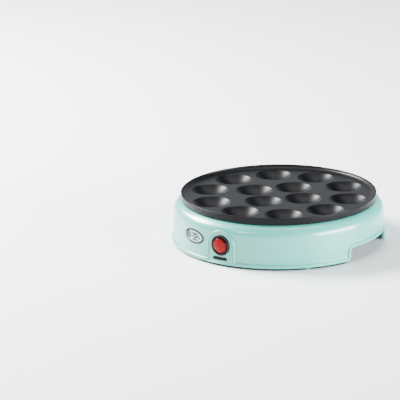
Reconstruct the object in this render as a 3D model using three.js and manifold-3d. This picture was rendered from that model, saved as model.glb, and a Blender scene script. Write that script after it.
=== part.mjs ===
// Round electric maker for small pancakes: a dimpled non-stick plate on a drafted plastic housing.
// Millimetres, +Z up. The origin is the middle of the footprint on the table, and the switch faces -Y.
import * as THREE from "three";
import { mergeVertices } from "three/addons/utils/BufferGeometryUtils.js";
import Module from "manifold-3d";

const wasm = await Module();
wasm.setup();

// ---------- driving dimensions ----------

// Gaps between neighbours: stacked faces, loose fits and moving fits.
const stackGap = 0.1;
const looseGap = 0.5;
const runGap = 0.3;

// Cooking plate.
const dimpleRadius = 22;
const dimpleDepth = 10;
const innerDimpleGap = 3.4;
const outerDimpleGap = 7.7;
const innerDimpleCount = 4;
const outerDimpleCount = 10;
const plateEdge = 9.4;
const plateThickness = 3.5;
const dimpleThickness = 3;
const rimDepth = 4.6;
const rimFoot = 8;
const rimTopWidth = 2;
const skirtDrop = 0.5;
const skirtWidth = 2.6;
const skirtDraft = 0.8;
const plateBossRadius = 5.5;
const plateBossDrop = 11.8;
const clampBossRadius = 4.5;
const landDrop = 7.8;
const landLength = 32;
const landWidth = 12;
const landTurn = 45;

// Screws and the clearance of the holes they pass.
const screwClearance = 0.4;
const threadClearance = 0.3;
const plateScrewRadius = 1.7;
const plateScrewBite = 9;
const clampScrewRadius = 1.4;
const clampScrewBite = 5;
const thermostatScrewRadius = 1.3;
const thermostatScrewBite = 4;
const baseScrewRadius = 1.6;
const baseScrewBite = 11;

// Housing.
const bodySegments = 48;
const bodyHeight = 50.4;
const edgeHeight = 2.2;
const wall = 2.6;
const overhang = 9.2;
const wallDraft = 0.7;
const shoulder = 13;
const trimProud = 0.8;
const trimWidth = 3.6;
const nubWidth = 5;
const nubDrop = 1.2;

// Hand notches and the pockets behind them.
const notchAngle = 94.7;
const notchHalfWidth = 45;
const notchTop = 17;
const notchCorner = 5;
const pocketDepth = 26;
const pocketSide = 1;
const pocketWall = 2;
const pocketRoof = 24;

// Base cover, feet and the posts that hold things together.
const baseLift = 1.2;
const baseThickness = 2.4;
const baseBossRadius = 5.5;
const baseBossRise = 1.6;
const basePostRadius = 4.5;
const basePostInset = 14;
const basePostTop = 20;
const basePostAngles = [30, -30, 150, -150];
const footAngles = [47.5, -47.5, 132.5, -132.5];
const footRadius = 7.5;
const footStem = 2.8;
const footInset = 19;
const platePostInset = 15;
const platePostClear = 6.8;
const platePostRadius = 6.5;
const platePostLength = 14;
const ribThickness = 2.4;
const ventLength = 34;
const ventWidth = 3.2;
const ventPitch = 9;
const ventCount = 7;

// Switch.
const switchHeight = 24.6;
const bezelRadius = 12.25;
const bezelThickness = 2.4;
const bezelEdge = 0.8;
const cavityRadius = 9.7;
const barrelWall = 1;
const barrelDepth = 13.1;
const barrelFloor = 1.5;
const panelRadius = 18.4;
const panelSpread = 1;
const rockerPivotDepth = 2.3;
const rockerRim = 3;
const rockerCrown = 4.6;
const rockerBack = 3;
const rockerShell = 1.8;
const rockerTilt = 9;
const trunnionRadius = 1.2;
const stemHalf = 2.4;
const stemLength = 5.6;
const plungerRadius = 1.2;
const plungerReach = 7.8;
const bladePivot = 8.6;
const bladeLength = 13;
const bladeWidth = 4;
const bladeThickness = 0.5;
const bladeTilt = 6;
const spadeWidth = 4.8;
const spadeThickness = 0.8;
const spadeEnd = 20;
const spadePitch = 5.5;
const slotWidth = 18;
const slotHeight = 2.5;
const slotZ = 8.8;

// Badge.
const badgeAngle = -19.5;
const badgeZ = 26;
const badgeWidth = 34;
const badgeHeight = 16;
const badgeThickness = 0.5;

// Heating and wiring.
const elementRadius = 3.25;
const elementGap = 20;
const elementBend = 9;
const sheathDrop = 5.2;
const pinLength = 6;
const pinRadius = 1.3;
const clampThickness = 1;
const clampEarOverlap = 1.5;
const shieldThickness = 0.8;
const shieldLip = 6;
const shieldMouth = 17;
const washerThickness = 2;
const washerRadius = 5;
const thermostatRadius = 8;
const thermostatHeight = 8;
const thermostatEar = 12;
const wireRadius = 1.2;
const wireZ = 14;
const fuseRadius = 2.8;
const fuseLength = 24;
const fuseX = 36;
const blockSetback = 22;
const blockSize = [26, 14, 11];
const blockBossRise = 3;
const portPitch = 8;
const glandZ = 14;
const glandBore = 3.6;
const glandNeck = 5.3;
const glandFlange = 7;
const cordClampSetback = 24;
const cordClampReach = 9;

// ---------- sizes worked out from them ----------

const deg = THREE.MathUtils.degToRad;
const innerRing = (2 * dimpleRadius + innerDimpleGap) / (2 * Math.sin(Math.PI / innerDimpleCount));
const outerRing = (2 * dimpleRadius + outerDimpleGap) / (2 * Math.sin(Math.PI / outerDimpleCount));
const plateRadius = outerRing + dimpleRadius + plateEdge;
const plateUnder = bodyHeight + looseGap;
const cookingZ = plateUnder + plateThickness;
const rimTop = cookingZ + rimDepth;

const elementRing = (innerRing + outerRing) / 2;
const elementZ = plateUnder - stackGap - elementRadius;
const clampTop = elementZ - elementRadius - stackGap;
const clampBossEnd = clampTop + stackGap;
const clampBossRing = elementRing + elementRadius + clampBossRadius + 1.8;
const clampOuter = clampBossRing - clampBossRadius + clampEarOverlap;
const clampBossAngles = [1.5, -1.5, 3.5, -3.5].map((step) => (step * 360) / outerDimpleCount);
const landEnd = plateUnder - landDrop;
const flangeTop = landEnd - stackGap;

const plateBossEnd = plateUnder - plateBossDrop;
const shieldTop = plateBossEnd - stackGap;
const shieldUnder = shieldTop - shieldThickness;
const washerTop = shieldUnder - stackGap;
const sheathEnd = shieldUnder - sheathDrop;
const pinEnd = sheathEnd - pinLength;
const platePostTop = washerTop - washerThickness - stackGap;
const platePostEnd = platePostTop - platePostLength;
const platePostRing = plateRadius - platePostInset;
const shieldRadius = platePostRing + plateBossRadius + 1.6;
const postOffset = notchHalfWidth + pocketSide + pocketWall + platePostRadius + platePostClear;
const backPost = notchAngle + (Math.asin(postOffset / platePostRing) * 180) / Math.PI;
const platePostAngles = [180 - backPost, backPost - 180, backPost, -backPost];
const blockY = elementRing * Math.cos(deg(elementGap)) + elementBend * Math.sin(deg(elementGap)) + blockSetback;
const cordClampY = blockY + cordClampSetback;

const footWall = plateRadius + overhang;
const shoulderZ = bodyHeight - shoulder;
const shoulderWall = footWall - wallDraft;
const slope = wallDraft / (shoulderZ - edgeHeight);
const openingRadius = shoulderWall - shoulder - 0.6;
const baseUnder = edgeHeight + baseLift;
const baseTop = baseUnder + baseThickness;
const baseRadius = wallRadius(baseTop) - wall - looseGap;
const basePostRing = footWall - basePostInset;
const bossTop = baseTop + baseBossRise;
const footRing = footWall - footInset;

const barrelRadius = cavityRadius + barrelWall;
const rockerRadius = cavityRadius - runGap;
const switchBore = barrelRadius + runGap;
const panelWall = wallRadius(switchHeight) + trimProud;
const bezelSeat = Math.sqrt(panelWall ** 2 - bezelRadius ** 2) - slope * bezelRadius;
const bezelFace = bezelSeat + stackGap + bezelThickness;
const rockerAxis = bezelFace - rockerPivotDepth;
const cavityFloor = rockerAxis - bezelSeat + barrelDepth - barrelFloor;
const crownRadius = (rimReach() ** 2 + (rockerCrown - rockerRim) ** 2) / (2 * (rockerCrown - rockerRim));
const frontReach = rockerAxis + (rockerCrown - crownRadius) * Math.cos(deg(rockerTilt)) + crownRadius;

// Radius of the drafted outer wall at a height.
function wallRadius(z) {
  return footWall - slope * (z - edgeHeight);
}

// Radius of the rocker where its crown begins.
function rimReach() {
  return Math.sqrt(rockerRadius ** 2 - rockerRim ** 2);
}

// Place on a circle: the angle is measured from the front, towards +X.
function onRing(radius, angle, z = 0) {
  return new THREE.Vector3(radius * Math.sin(deg(angle)), -radius * Math.cos(deg(angle)), z);
}

// Frame whose x runs round the housing, y up and z straight out, at an angle from the front.
function facing(angle, radius = 0, z = 0) {
  const round = new THREE.Vector3(Math.cos(deg(angle)), Math.sin(deg(angle)), 0);
  const out = new THREE.Vector3(Math.sin(deg(angle)), -Math.cos(deg(angle)), 0);
  const frame = new THREE.Matrix4().makeBasis(round, new THREE.Vector3(0, 0, 1), out);
  return frame.setPosition(onRing(radius, angle, z));
}

// ---------- shapes ----------

// A closed three.js geometry as a manifold solid, its shared vertices merged and its faces turned out.
function solid(geometry) {
  const bare = geometry.clone();
  bare.deleteAttribute("normal");
  bare.deleteAttribute("uv");
  const merged = mergeVertices(bare, 1e-4);
  const index = Array.from(merged.index.array);
  const kept = [];
  for (let i = 0; i < index.length; i += 3) {
    const [a, b, c] = index.slice(i, i + 3);
    if (a !== b && b !== c && a !== c) kept.push(a, b, c);
  }
  const vertProperties = new Float32Array(merged.attributes.position.array);
  const build = (order) =>
    new wasm.Manifold(new wasm.Mesh({ numProp: 3, vertProperties, triVerts: new Uint32Array(order) }));
  const made = build(kept);
  return made.volume() > 0 ? made : build(kept.reverse());
}

// A manifold solid as a three.js geometry.
function geometryOf(made) {
  const mesh = made.getMesh();
  const geometry = new THREE.BufferGeometry();
  geometry.setAttribute("position", new THREE.BufferAttribute(new Float32Array(mesh.vertProperties), 3));
  geometry.setIndex(new THREE.BufferAttribute(new Uint32Array(mesh.triVerts), 1));
  geometry.computeVertexNormals();
  return geometry;
}

function join(solids) {
  return solids.reduce((a, b) => a.add(b));
}

function cut(body, tools) {
  return tools.reduce((a, b) => a.subtract(b), body);
}

// Solid of revolution about Z from [radius, z] pairs.
function turned(profile, segments) {
  const points = profile.map(([r, z]) => new THREE.Vector2(r, z));
  const closed = profile[0][0] > 0 ? [...points, points[0]] : points;
  return solid(new THREE.LatheGeometry(closed, segments).rotateX(Math.PI / 2));
}

function disc(radius, low, high, segments = 16) {
  return turned([[0, low], [radius, low], [radius, high], [0, high]], segments);
}

function ring(inner, outer, low, high, segments = 16) {
  return turned([[inner, low], [outer, low], [outer, high], [inner, high]], segments);
}

function block(low, high) {
  const size = high.map((v, i) => v - low[i]);
  const middle = high.map((v, i) => (v + low[i]) / 2);
  return solid(new THREE.BoxGeometry(...size).translate(...middle));
}

// A flat outline pushed along z.
function prism(shape, low, high, curveSegments = 5) {
  const options = { depth: high - low, bevelEnabled: false, curveSegments };
  return solid(new THREE.ExtrudeGeometry(shape, options).translate(0, 0, low));
}

// A rod of even section along a curve.
function rod(curve, radius, sides, steps) {
  const section = new THREE.Shape();
  for (let i = 0; i < sides; i += 1) {
    const a = (2 * Math.PI * i) / sides;
    if (i === 0) section.moveTo(radius, 0);
    else section.lineTo(radius * Math.cos(a), radius * Math.sin(a));
  }
  section.closePath();
  return solid(new THREE.ExtrudeGeometry(section, { steps, extrudePath: curve, bevelEnabled: false }));
}

function moved(made, matrix) {
  return made.transform(matrix.elements);
}

function shifted(made, place) {
  return made.translate([place.x, place.y, place.z]);
}

// An arc as [radius, z] pairs.
function arc(cx, cz, radius, from, to, steps) {
  return Array.from({ length: steps + 1 }, (_, i) => {
    const a = deg(from + ((to - from) * i) / steps);
    return [cx + radius * Math.cos(a), cz + radius * Math.sin(a)];
  });
}

// Pan-head screw pointing up: its head hangs below z 0 and its shank rises from there.
function screw(shank, length, headRadius, headHeight) {
  const bevel = headHeight * 0.3;
  const profile = [
    [0, -headHeight],
    [headRadius - bevel, -headHeight],
    [headRadius, -headHeight + bevel],
    [headRadius, 0],
    [shank, 0],
    [shank, length - shank],
    [0, length],
  ];
  return turned(profile, 6);
}

// The same solid at each angle of a ring.
function around(made, radius, angles) {
  return angles.map((angle) => shifted(made, onRing(radius, angle)));
}

// ---------- materials and assembly ----------

function finish(color, roughness, metalness = 0) {
  return new THREE.MeshStandardMaterial({ color, roughness, metalness });
}

const root = new THREE.Group();

function addPiece(name, made, material, place = null, parent = root) {
  const piece = new THREE.Mesh(geometryOf(made), material);
  piece.name = name;
  if (place) piece.position.copy(place);
  parent.add(piece);
}

// ---------- cooking plate ----------

// The dimple centres: the inner ring first, then the outer one. Each ring has one at the front.
function dimpleCentres() {
  const spots = (count, radius) => Array.from({ length: count }, (_, i) => onRing(radius, (360 * i) / count));
  return [...spots(innerDimpleCount, innerRing), ...spots(outerDimpleCount, outerRing)];
}

// A bowl-shaped solid whose mouth is at z = top and whose lowest point is at z = bottom.
function bowl(mouth, bottom, top, over, rings, segments) {
  const depth = top - bottom;
  const radius = (mouth ** 2 + depth ** 2) / (2 * depth);
  const reach = Math.asin(mouth / radius);
  const profile = Array.from({ length: rings + 1 }, (_, i) => {
    const a = (reach * i) / rings;
    return [radius * Math.sin(a), bottom + radius * (1 - Math.cos(a))];
  });
  return turned([...profile, [mouth, top + over], [0, top + over]], segments);
}

function plateDisc() {
  const rimInner = plateRadius - rimTopWidth;
  const skirtOuter = plateRadius - skirtDraft;
  const skirtEnd = plateUnder - skirtDrop;
  const profile = [
    [0, plateUnder],
    [skirtOuter - skirtWidth, plateUnder],
    [skirtOuter - skirtWidth + skirtDrop, skirtEnd],
    [skirtOuter - 0.6, skirtEnd],
    [skirtOuter, skirtEnd + 0.6],
    [plateRadius, rimTop - 0.5],
    [plateRadius - 0.5, rimTop],
    [rimInner, rimTop],
    [rimInner - rimFoot * 0.15, cookingZ + rimDepth * 0.45],
    [rimInner - rimFoot * 0.45, cookingZ + rimDepth * 0.14],
    [rimInner - rimFoot, cookingZ],
    [0, cookingZ],
  ];
  return turned(profile, bodySegments);
}

// A blind hole for a screw, from below.
function threadHole(radius, mouth, bite) {
  return disc(radius + threadClearance, mouth - 1, mouth + bite + 1, 10);
}

function cookingPlate() {
  const mouth = dimpleRadius + dimpleThickness * 0.3;
  const outside = bowl(mouth, cookingZ - dimpleDepth - dimpleThickness, plateUnder, 1, 2, 10);
  const inside = bowl(dimpleRadius, cookingZ - dimpleDepth, cookingZ, 1, 3, 16);
  const landSize = [landLength / 2, landWidth / 2];
  const land = block([-landSize[0], -landSize[1], landEnd], [...landSize, plateUnder + 1]);
  const bosses = [
    ...around(disc(plateBossRadius, plateBossEnd, plateUnder + 1), platePostRing, platePostAngles),
    ...around(disc(clampBossRadius, clampBossEnd, plateUnder + 1, 12), clampBossRing, clampBossAngles),
    land.rotate([0, 0, landTurn]),
  ];
  const earHole = threadHole(thermostatScrewRadius, landEnd, thermostatScrewBite);
  const holes = [
    ...around(threadHole(plateScrewRadius, plateBossEnd, plateScrewBite), platePostRing, platePostAngles),
    ...around(threadHole(clampScrewRadius, clampBossEnd, clampScrewBite), clampBossRing, clampBossAngles),
    ...[1, -1].map((side) => earHole.translate([side * thermostatEar, 0, 0]).rotate([0, 0, landTurn])),
  ];
  const centres = dimpleCentres();
  const whole = join([plateDisc(), ...centres.map((c) => shifted(outside, c)), ...bosses]);
  return cut(whole, [...centres.map((c) => shifted(inside, c)), ...holes]);
}

// ---------- housing ----------

function shell() {
  const innerShoulder = shoulder - wall;
  const profile = [
    [wallRadius(edgeHeight), edgeHeight],
    ...arc(shoulderWall - shoulder, shoulderZ, shoulder, 0, 90, 5),
    [openingRadius, bodyHeight],
    [openingRadius, bodyHeight - wall],
    ...arc(shoulderWall - shoulder, shoulderZ, innerShoulder, 90, 0, 2),
    [wallRadius(edgeHeight) - wall, edgeHeight],
  ];
  return turned(profile, bodySegments);
}

// A sleeve that follows the drafted wall, from one offset to another.
function sleeve(inner, outer, low, high) {
  const profile = [
    [wallRadius(low) + inner, low],
    [wallRadius(low) + outer, low],
    [wallRadius(high) + outer, high],
    [wallRadius(high) + inner, high],
  ];
  return turned(profile, bodySegments);
}

// The hand notch's outline, grown by a margin, in the frame that faces it.
function notchOutline(margin) {
  const half = notchHalfWidth + margin;
  const top = notchTop + margin;
  const corner = notchCorner + margin;
  const shape = new THREE.Shape();
  shape.moveTo(-half, -margin - 5);
  shape.lineTo(half, -margin - 5);
  shape.lineTo(half, top - corner);
  shape.absarc(half - corner, top - corner, corner, 0, Math.PI / 2, false);
  shape.lineTo(-half + corner, top);
  shape.absarc(-half + corner, top - corner, corner, Math.PI / 2, Math.PI, false);
  shape.closePath();
  return shape;
}

function notchCut(margin, side) {
  const reach = footWall - basePostInset;
  return moved(prism(notchOutline(margin), reach, footWall + 6, 3), facing(side * notchAngle));
}

// The arched pad round the switch, standing on the bottom bead.
function panelOutline() {
  const foot = panelRadius + panelSpread;
  const shape = new THREE.Shape();
  shape.moveTo(-foot, edgeHeight);
  shape.lineTo(foot, edgeHeight);
  shape.absarc(0, switchHeight, panelRadius, 0, Math.PI, false);
  shape.closePath();
  return shape;
}

function slotCut() {
  const shape = new THREE.Shape();
  const half = slotWidth / 2 - slotHeight / 2;
  shape.absarc(half, slotZ, slotHeight / 2, -Math.PI / 2, Math.PI / 2, false);
  shape.absarc(-half, slotZ, slotHeight / 2, Math.PI / 2, (3 * Math.PI) / 2, false);
  shape.closePath();
  return moved(prism(shape, footWall - 9, footWall + 9, 4), facing(0));
}

// Everything that stands proud of the wall: the bottom bead, the notch beads and the switch pad.
function trim() {
  const proud = sleeve(-wall / 2, trimProud, edgeHeight, notchTop + trimWidth + 30);
  const bead = disc(footWall * 1.5, edgeHeight, edgeHeight + trimWidth, 8);
  const pad = moved(prism(panelOutline(), footWall - 12, footWall + 9, 12), facing(0));
  return proud.intersect(join([bead, notchCut(trimWidth, 1), notchCut(trimWidth, -1), pad]));
}

// Posts standing in from the wall, each with a rib that ties it to the wall.
function posts(radius, ringRadius, low, high, angles) {
  const reach = wallRadius((low + high) / 2) - wall / 2;
  const rib = block([-ribThickness / 2, low, ringRadius], [ribThickness / 2, high, reach]);
  return angles.flatMap((angle) => [
    shifted(disc(radius, low, high, 14), onRing(ringRadius, angle)),
    moved(rib, facing(angle)),
  ]);
}

function nubs() {
  const half = nubWidth / 2;
  const low = edgeHeight - nubDrop;
  const nub = block([-half, low, footWall - wall], [half, edgeHeight + 1, footWall + trimProud - 0.3]);
  return footAngles.map((angle) => moved(nub, facing(angle)));
}

function bodyShell() {
  const whole = join([
    shell(),
    trim(),
    ...nubs(),
    ...posts(platePostRadius, platePostRing, platePostEnd, platePostTop, platePostAngles),
    ...posts(basePostRadius, basePostRing, bossTop + stackGap, basePostTop, basePostAngles),
  ]);
  const plateHole = disc(plateScrewRadius + screwClearance, platePostEnd - 1, platePostTop + 1, 10);
  const baseHole = disc(baseScrewRadius + threadClearance, bossTop - 1, bossTop + baseScrewBite, 10);
  const glandHole = disc(glandNeck + runGap, -20, 20, 20);
  const switchHole = disc(switchBore, -20, 20, 24);
  const bezelCut = disc(bezelRadius + runGap, 0, 9, 28);
  return cut(whole, [
    notchCut(0, 1),
    notchCut(0, -1),
    slotCut(),
    moved(switchHole, facing(0, footWall, switchHeight)),
    moved(bezelCut, facing(0, bezelSeat, switchHeight)),
    moved(glandHole, facing(180, footWall, glandZ)),
    ...around(plateHole, platePostRing, platePostAngles),
    ...around(baseHole, basePostRing, basePostAngles),
  ]);
}

// ---------- base cover and feet ----------

// The pocket behind a hand notch, grown by a margin.
function pocket(margin, low, side) {
  const half = notchHalfWidth + pocketSide + margin;
  const inner = footWall - pocketDepth - margin;
  const room = block([-half, low, inner], [half, pocketRoof + margin, footWall + 9]);
  return moved(room, facing(side * notchAngle));
}

function baseCover() {
  const inside = sleeve(-footWall + 1, -wall - looseGap, baseUnder, pocketRoof + pocketWall + 1);
  const pockets = [1, -1].map((side) => pocket(pocketWall, baseUnder, side).intersect(inside));
  const clampPost = disc(3.2, baseTop - 1, glandZ - stackGap, 12);
  const whole = join([
    disc(baseRadius, baseUnder, baseTop, bodySegments),
    ...pockets,
    ...around(disc(baseBossRadius, baseTop - 1, bossTop, 14), basePostRing, basePostAngles),
    disc(4, baseTop - 1, baseTop + blockBossRise, 12).translate([0, blockY, 0]),
    ...[1, -1].map((side) => clampPost.translate([side * cordClampReach, cordClampY, 0])),
  ]);
  const vent = block([-ventLength / 2, -ventWidth / 2, baseUnder - 1], [ventLength / 2, ventWidth / 2, baseTop + 1]);
  const vents = Array.from({ length: ventCount }, (_, i) =>
    vent.translate([0, (i - (ventCount - 1) / 2) * ventPitch, 0]),
  );
  const smallHole = disc(clampScrewRadius + threadClearance, baseTop + 0.6, glandZ + 1, 10);
  return cut(whole, [
    pocket(0, -1, 1),
    pocket(0, -1, -1),
    ...vents,
    ...around(disc(footStem + runGap, baseUnder - 1, baseTop + 1, 12), footRing, footAngles),
    ...around(disc(baseScrewRadius + screwClearance, baseUnder - 1, bossTop + 1, 10), basePostRing, basePostAngles),
    smallHole.translate([0, blockY, 0]),
    ...[1, -1].map((side) => smallHole.translate([side * cordClampReach, cordClampY, 0])),
  ]);
}

function foot() {
  const flange = baseUnder - stackGap;
  const profile = [
    [0, 0],
    [footRadius - 0.6, 0],
    [footRadius, 0.6],
    [footRadius, flange],
    [footStem, flange],
    [footStem, baseTop + stackGap],
    [footStem + 1, baseTop + 0.6],
    [footStem - 0.6, baseTop + 2.8],
    [0, baseTop + 2.8],
  ];
  return turned(profile, 12);
}

// ---------- heating ----------

// The heating tube's path: up one pin, round the ring from one side of the gap to the other, and down.
class ElementPath extends THREE.Curve {
  getPoint(t, target = new THREE.Vector3()) {
    const round = 360 - 2 * elementGap;
    const lengths = [elementZ - elementBend - sheathEnd, (elementBend * Math.PI) / 2, deg(round) * elementRing];
    const total = 2 * (lengths[0] + lengths[1]) + lengths[2];
    const side = t < 0.5 ? -1 : 1;
    const along = (t < 0.5 ? t : 1 - t) * total;
    const angle = 180 - side * elementGap;
    const end = onRing(elementRing, side > 0 ? angle : -180 + elementGap, elementZ);
    const inward = side > 0 ? angle : -180 + elementGap;
    const tangent = new THREE.Vector3(Math.cos(deg(inward)), Math.sin(deg(inward)), 0).multiplyScalar(side);
    if (along < lengths[0]) {
      return target.copy(end).addScaledVector(tangent, elementBend).setZ(sheathEnd + along);
    }
    if (along < lengths[0] + lengths[1]) {
      const a = (along - lengths[0]) / elementBend;
      target.copy(end).addScaledVector(tangent, elementBend * Math.cos(a));
      return target.setZ(elementZ - elementBend + elementBend * Math.sin(a));
    }
    const swept = ((along - lengths[0] - lengths[1]) / elementRing) * (180 / Math.PI);
    return target.copy(onRing(elementRing, side > 0 ? angle - swept : inward + swept, elementZ));
  }
}

// Where the tube's two ends come down.
function pinPlaces() {
  const path = new ElementPath();
  return [path.getPoint(0).setZ(0), path.getPoint(1).setZ(0)];
}

function heatingElement() {
  const pins = pinPlaces().map((place) => shifted(disc(pinRadius, pinEnd, sheathEnd + 1, 8), place));
  return join([rod(new ElementPath(), elementRadius, 6, 44), ...pins]);
}

function elementClamp() {
  const low = clampTop - clampThickness;
  const band = ring(2 * elementRing - clampOuter, clampOuter, low, clampTop, 24);
  const ears = around(disc(clampBossRadius, low, clampTop, 12), clampBossRing, clampBossAngles);
  const holes = around(disc(clampScrewRadius + screwClearance, low - 1, clampTop + 1, 10), clampBossRing, clampBossAngles);
  const gapHalf = elementRing * Math.sin(deg(elementGap)) + 4;
  const gap = block([-gapHalf, elementRing / 2, low - 1], [gapHalf, elementRing * 2, clampTop + 1]);
  return cut(join([band, ...ears]), [...holes, gap]);
}

function heatShield() {
  const profile = [
    [shieldMouth, shieldUnder],
    [shieldRadius - shieldThickness, shieldUnder],
    [shieldRadius, shieldUnder + shieldThickness],
    [shieldRadius, shieldUnder + shieldLip],
    [shieldRadius - shieldThickness, shieldUnder + shieldLip],
    [shieldRadius - shieldThickness, shieldTop],
    [shieldMouth, shieldTop],
  ];
  const screwHole = disc(plateScrewRadius + screwClearance, shieldUnder - 1, shieldTop + 1, 10);
  const pinHole = disc(elementRadius + 0.8, shieldUnder - 1, shieldTop + 1, 14);
  return cut(turned(profile, 28), [
    ...around(screwHole, platePostRing, platePostAngles),
    ...pinPlaces().map((place) => shifted(pinHole, place)),
  ]);
}

function thermostat() {
  const low = flangeTop - 0.8;
  const halfLength = landLength / 2 - 1;
  const cup = disc(thermostatRadius, low - thermostatHeight, flangeTop, 14);
  const flange = block([-halfLength, 1 - landWidth / 2, low], [halfLength, landWidth / 2 - 1, flangeTop]);
  const tab = block([-0.4, -3.15, low - thermostatHeight - 6], [0.4, 3.15, low - thermostatHeight + 1]);
  const hole = disc(thermostatScrewRadius + screwClearance, low - 1, flangeTop + 1, 10);
  const whole = join([cup, flange, tab.translate([4.5, 0, 0]), tab.translate([-4.5, 0, 0])]);
  const holes = [1, -1].map((side) => hole.translate([side * thermostatEar, 0, 0]));
  return cut(whole, holes).rotate([0, 0, landTurn]);
}

// ---------- wiring ----------

function wire(points) {
  const curve = new THREE.CatmullRomCurve3(points.map((p) => new THREE.Vector3(...p)), false, "centripetal");
  return rod(curve, wireRadius, 5, (points.length - 1) * 3);
}

// The clip on a wire's end that slides over a spade, in the switch's frame.
function spadeClip(height) {
  const half = spadeWidth / 2 + runGap;
  const slot = block([-half, height - spadeThickness, -spadeEnd - 1], [half, height + spadeThickness, 0]);
  const outer = block(
    [-half - 0.8, height - spadeThickness - 0.8, -spadeEnd - 2.4],
    [half + 0.8, height + spadeThickness + 0.8, -spadeEnd + 5],
  );
  return moved(outer.subtract(slot), facing(0, rockerAxis, switchHeight));
}

function wires() {
  const spadeY = -(rockerAxis - spadeEnd - 2);
  const portY = blockY - blockSize[1] / 2 + 3;
  const [leftPin, rightPin] = pinPlaces();
  const line = [
    [-portPitch, portY, wireZ],
    [-portPitch, portY - 6, wireZ],
    [-24, blockY - 40, wireZ - 2],
    [-26, -20, wireZ - 2],
    [-14, -70, switchHeight - 5],
    [0, spadeY + 12, switchHeight],
    [0, spadeY, switchHeight],
  ];
  const load = [
    [0, spadeY, switchHeight - spadePitch],
    [0, spadeY + 10, switchHeight - spadePitch],
    [24, -64, wireZ],
    [fuseX, -20, wireZ],
    [fuseX, 4, wireZ],
    [fuseX, 36, wireZ],
    [fuseX, 42, wireZ],
    [rightPin.x + 12, rightPin.y - 4, wireZ + 5],
    [rightPin.x, rightPin.y, pinEnd - 5],
    [rightPin.x, rightPin.y, pinEnd - runGap],
  ];
  const neutral = [
    [0, portY, wireZ],
    [0, portY - 5, wireZ],
    [leftPin.x + 3, leftPin.y + 3, wireZ + 3],
    [leftPin.x, leftPin.y, pinEnd - 5],
    [leftPin.x, leftPin.y, pinEnd - runGap],
  ];
  const earth = [
    [portPitch, portY, wireZ],
    [portPitch, portY - 5, wireZ],
    [30, portY - 8, wireZ + 8],
    [38, portY - 12, shieldUnder - 8],
    [38, portY - 12, shieldUnder - runGap],
  ];
  return {
    wire_line: join([wire(line), spadeClip(0)]),
    wire_load: join([wire(load), spadeClip(-spadePitch)]),
    wire_neutral: wire(neutral),
    wire_earth: wire(earth),
  };
}

function fuseSleeve() {
  const sleeveShape = ring(wireRadius + runGap, fuseRadius, -fuseLength / 2, fuseLength / 2, 12);
  return moved(sleeveShape, facing(180, 21, wireZ)).translate([fuseX, 0, 0]);
}

function terminalBlock() {
  const [width, depth, height] = blockSize;
  const low = baseTop + blockBossRise + stackGap;
  const port = disc(wireRadius + 0.6, -depth, depth, 10).rotate([90, 0, 0]);
  const ports = [-1, 0, 1].map((i) => port.translate([i * portPitch, blockY, wireZ]));
  const hole = disc(clampScrewRadius + screwClearance, low - 1, low + height + 1, 10);
  const body = block([-width / 2, blockY - depth / 2, low], [width / 2, blockY + depth / 2, low + height]);
  return cut(body, [...ports.filter((_, i) => i !== 1), middlePort(port), hole.translate([0, blockY, 0])]);
}

// The middle port stops short of the screw that holds the block.
function middlePort(port) {
  const front = block([-9, blockY - blockSize[1], 0], [9, blockY - 3.4, 40]);
  return port.translate([0, blockY, wireZ]).intersect(front);
}

function cordGland() {
  const innerWall = wallRadius(glandZ) - wall;
  const outerWall = wallRadius(glandZ) + slope * glandFlange + stackGap;
  const lip = innerWall - 1.2;
  const profile = [
    [glandBore, lip - 2],
    [glandFlange, lip - 2],
    [glandFlange, lip],
    [glandNeck, lip],
    [glandNeck, outerWall],
    [glandFlange, outerWall],
    [glandFlange - 0.6, frontReach],
    [glandBore, frontReach],
  ];
  return moved(turned(profile, 16), facing(180, 0, glandZ));
}

function cordClamp() {
  const half = cordClampReach + 4;
  const low = glandZ;
  const groove = disc(glandBore, -20, 20, 14).rotate([90, 0, 0]).translate([0, cordClampY, glandZ]);
  const hole = disc(clampScrewRadius + screwClearance, low - 1, low + 9, 10);
  const bar = block([-half, cordClampY - 4, low], [half, cordClampY + 4, low + 6]);
  return cut(bar, [groove, ...[1, -1].map((side) => hole.translate([side * cordClampReach, cordClampY, 0]))]);
}

// ---------- switch, built in its own frame: x right, y up, z out, the pivot at the origin ----------

function switchHousing() {
  const seat = bezelSeat + stackGap - rockerAxis;
  const face = bezelFace - rockerAxis;
  const back = seat - barrelDepth;
  const profile = [
    [0, back],
    [barrelRadius, back],
    [barrelRadius, seat],
    [bezelRadius, seat],
    [bezelRadius, face - bezelEdge],
    [bezelRadius - bezelEdge * 0.3, face - bezelEdge * 0.3],
    [bezelRadius - bezelEdge, face],
    [cavityRadius + 0.4, face],
    [cavityRadius, face - 0.4],
    [cavityRadius, back + barrelFloor],
    [0, back + barrelFloor],
  ];
  const pin = disc(trunnionRadius + runGap, -barrelRadius - 1, barrelRadius + 1, 12).rotate([0, 90, 0]);
  const slotHalf = spadeWidth / 2 + runGap;
  const slot = block([-slotHalf, -spadeThickness / 2 - runGap, back - 1], [slotHalf, spadeThickness / 2 + runGap, back + 3]);
  const slots = [-1, 0, 1].map((i) => slot.translate([0, i * spadePitch, 0]));
  return cut(turned(profile, 24), [pin, ...slots]);
}

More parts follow.
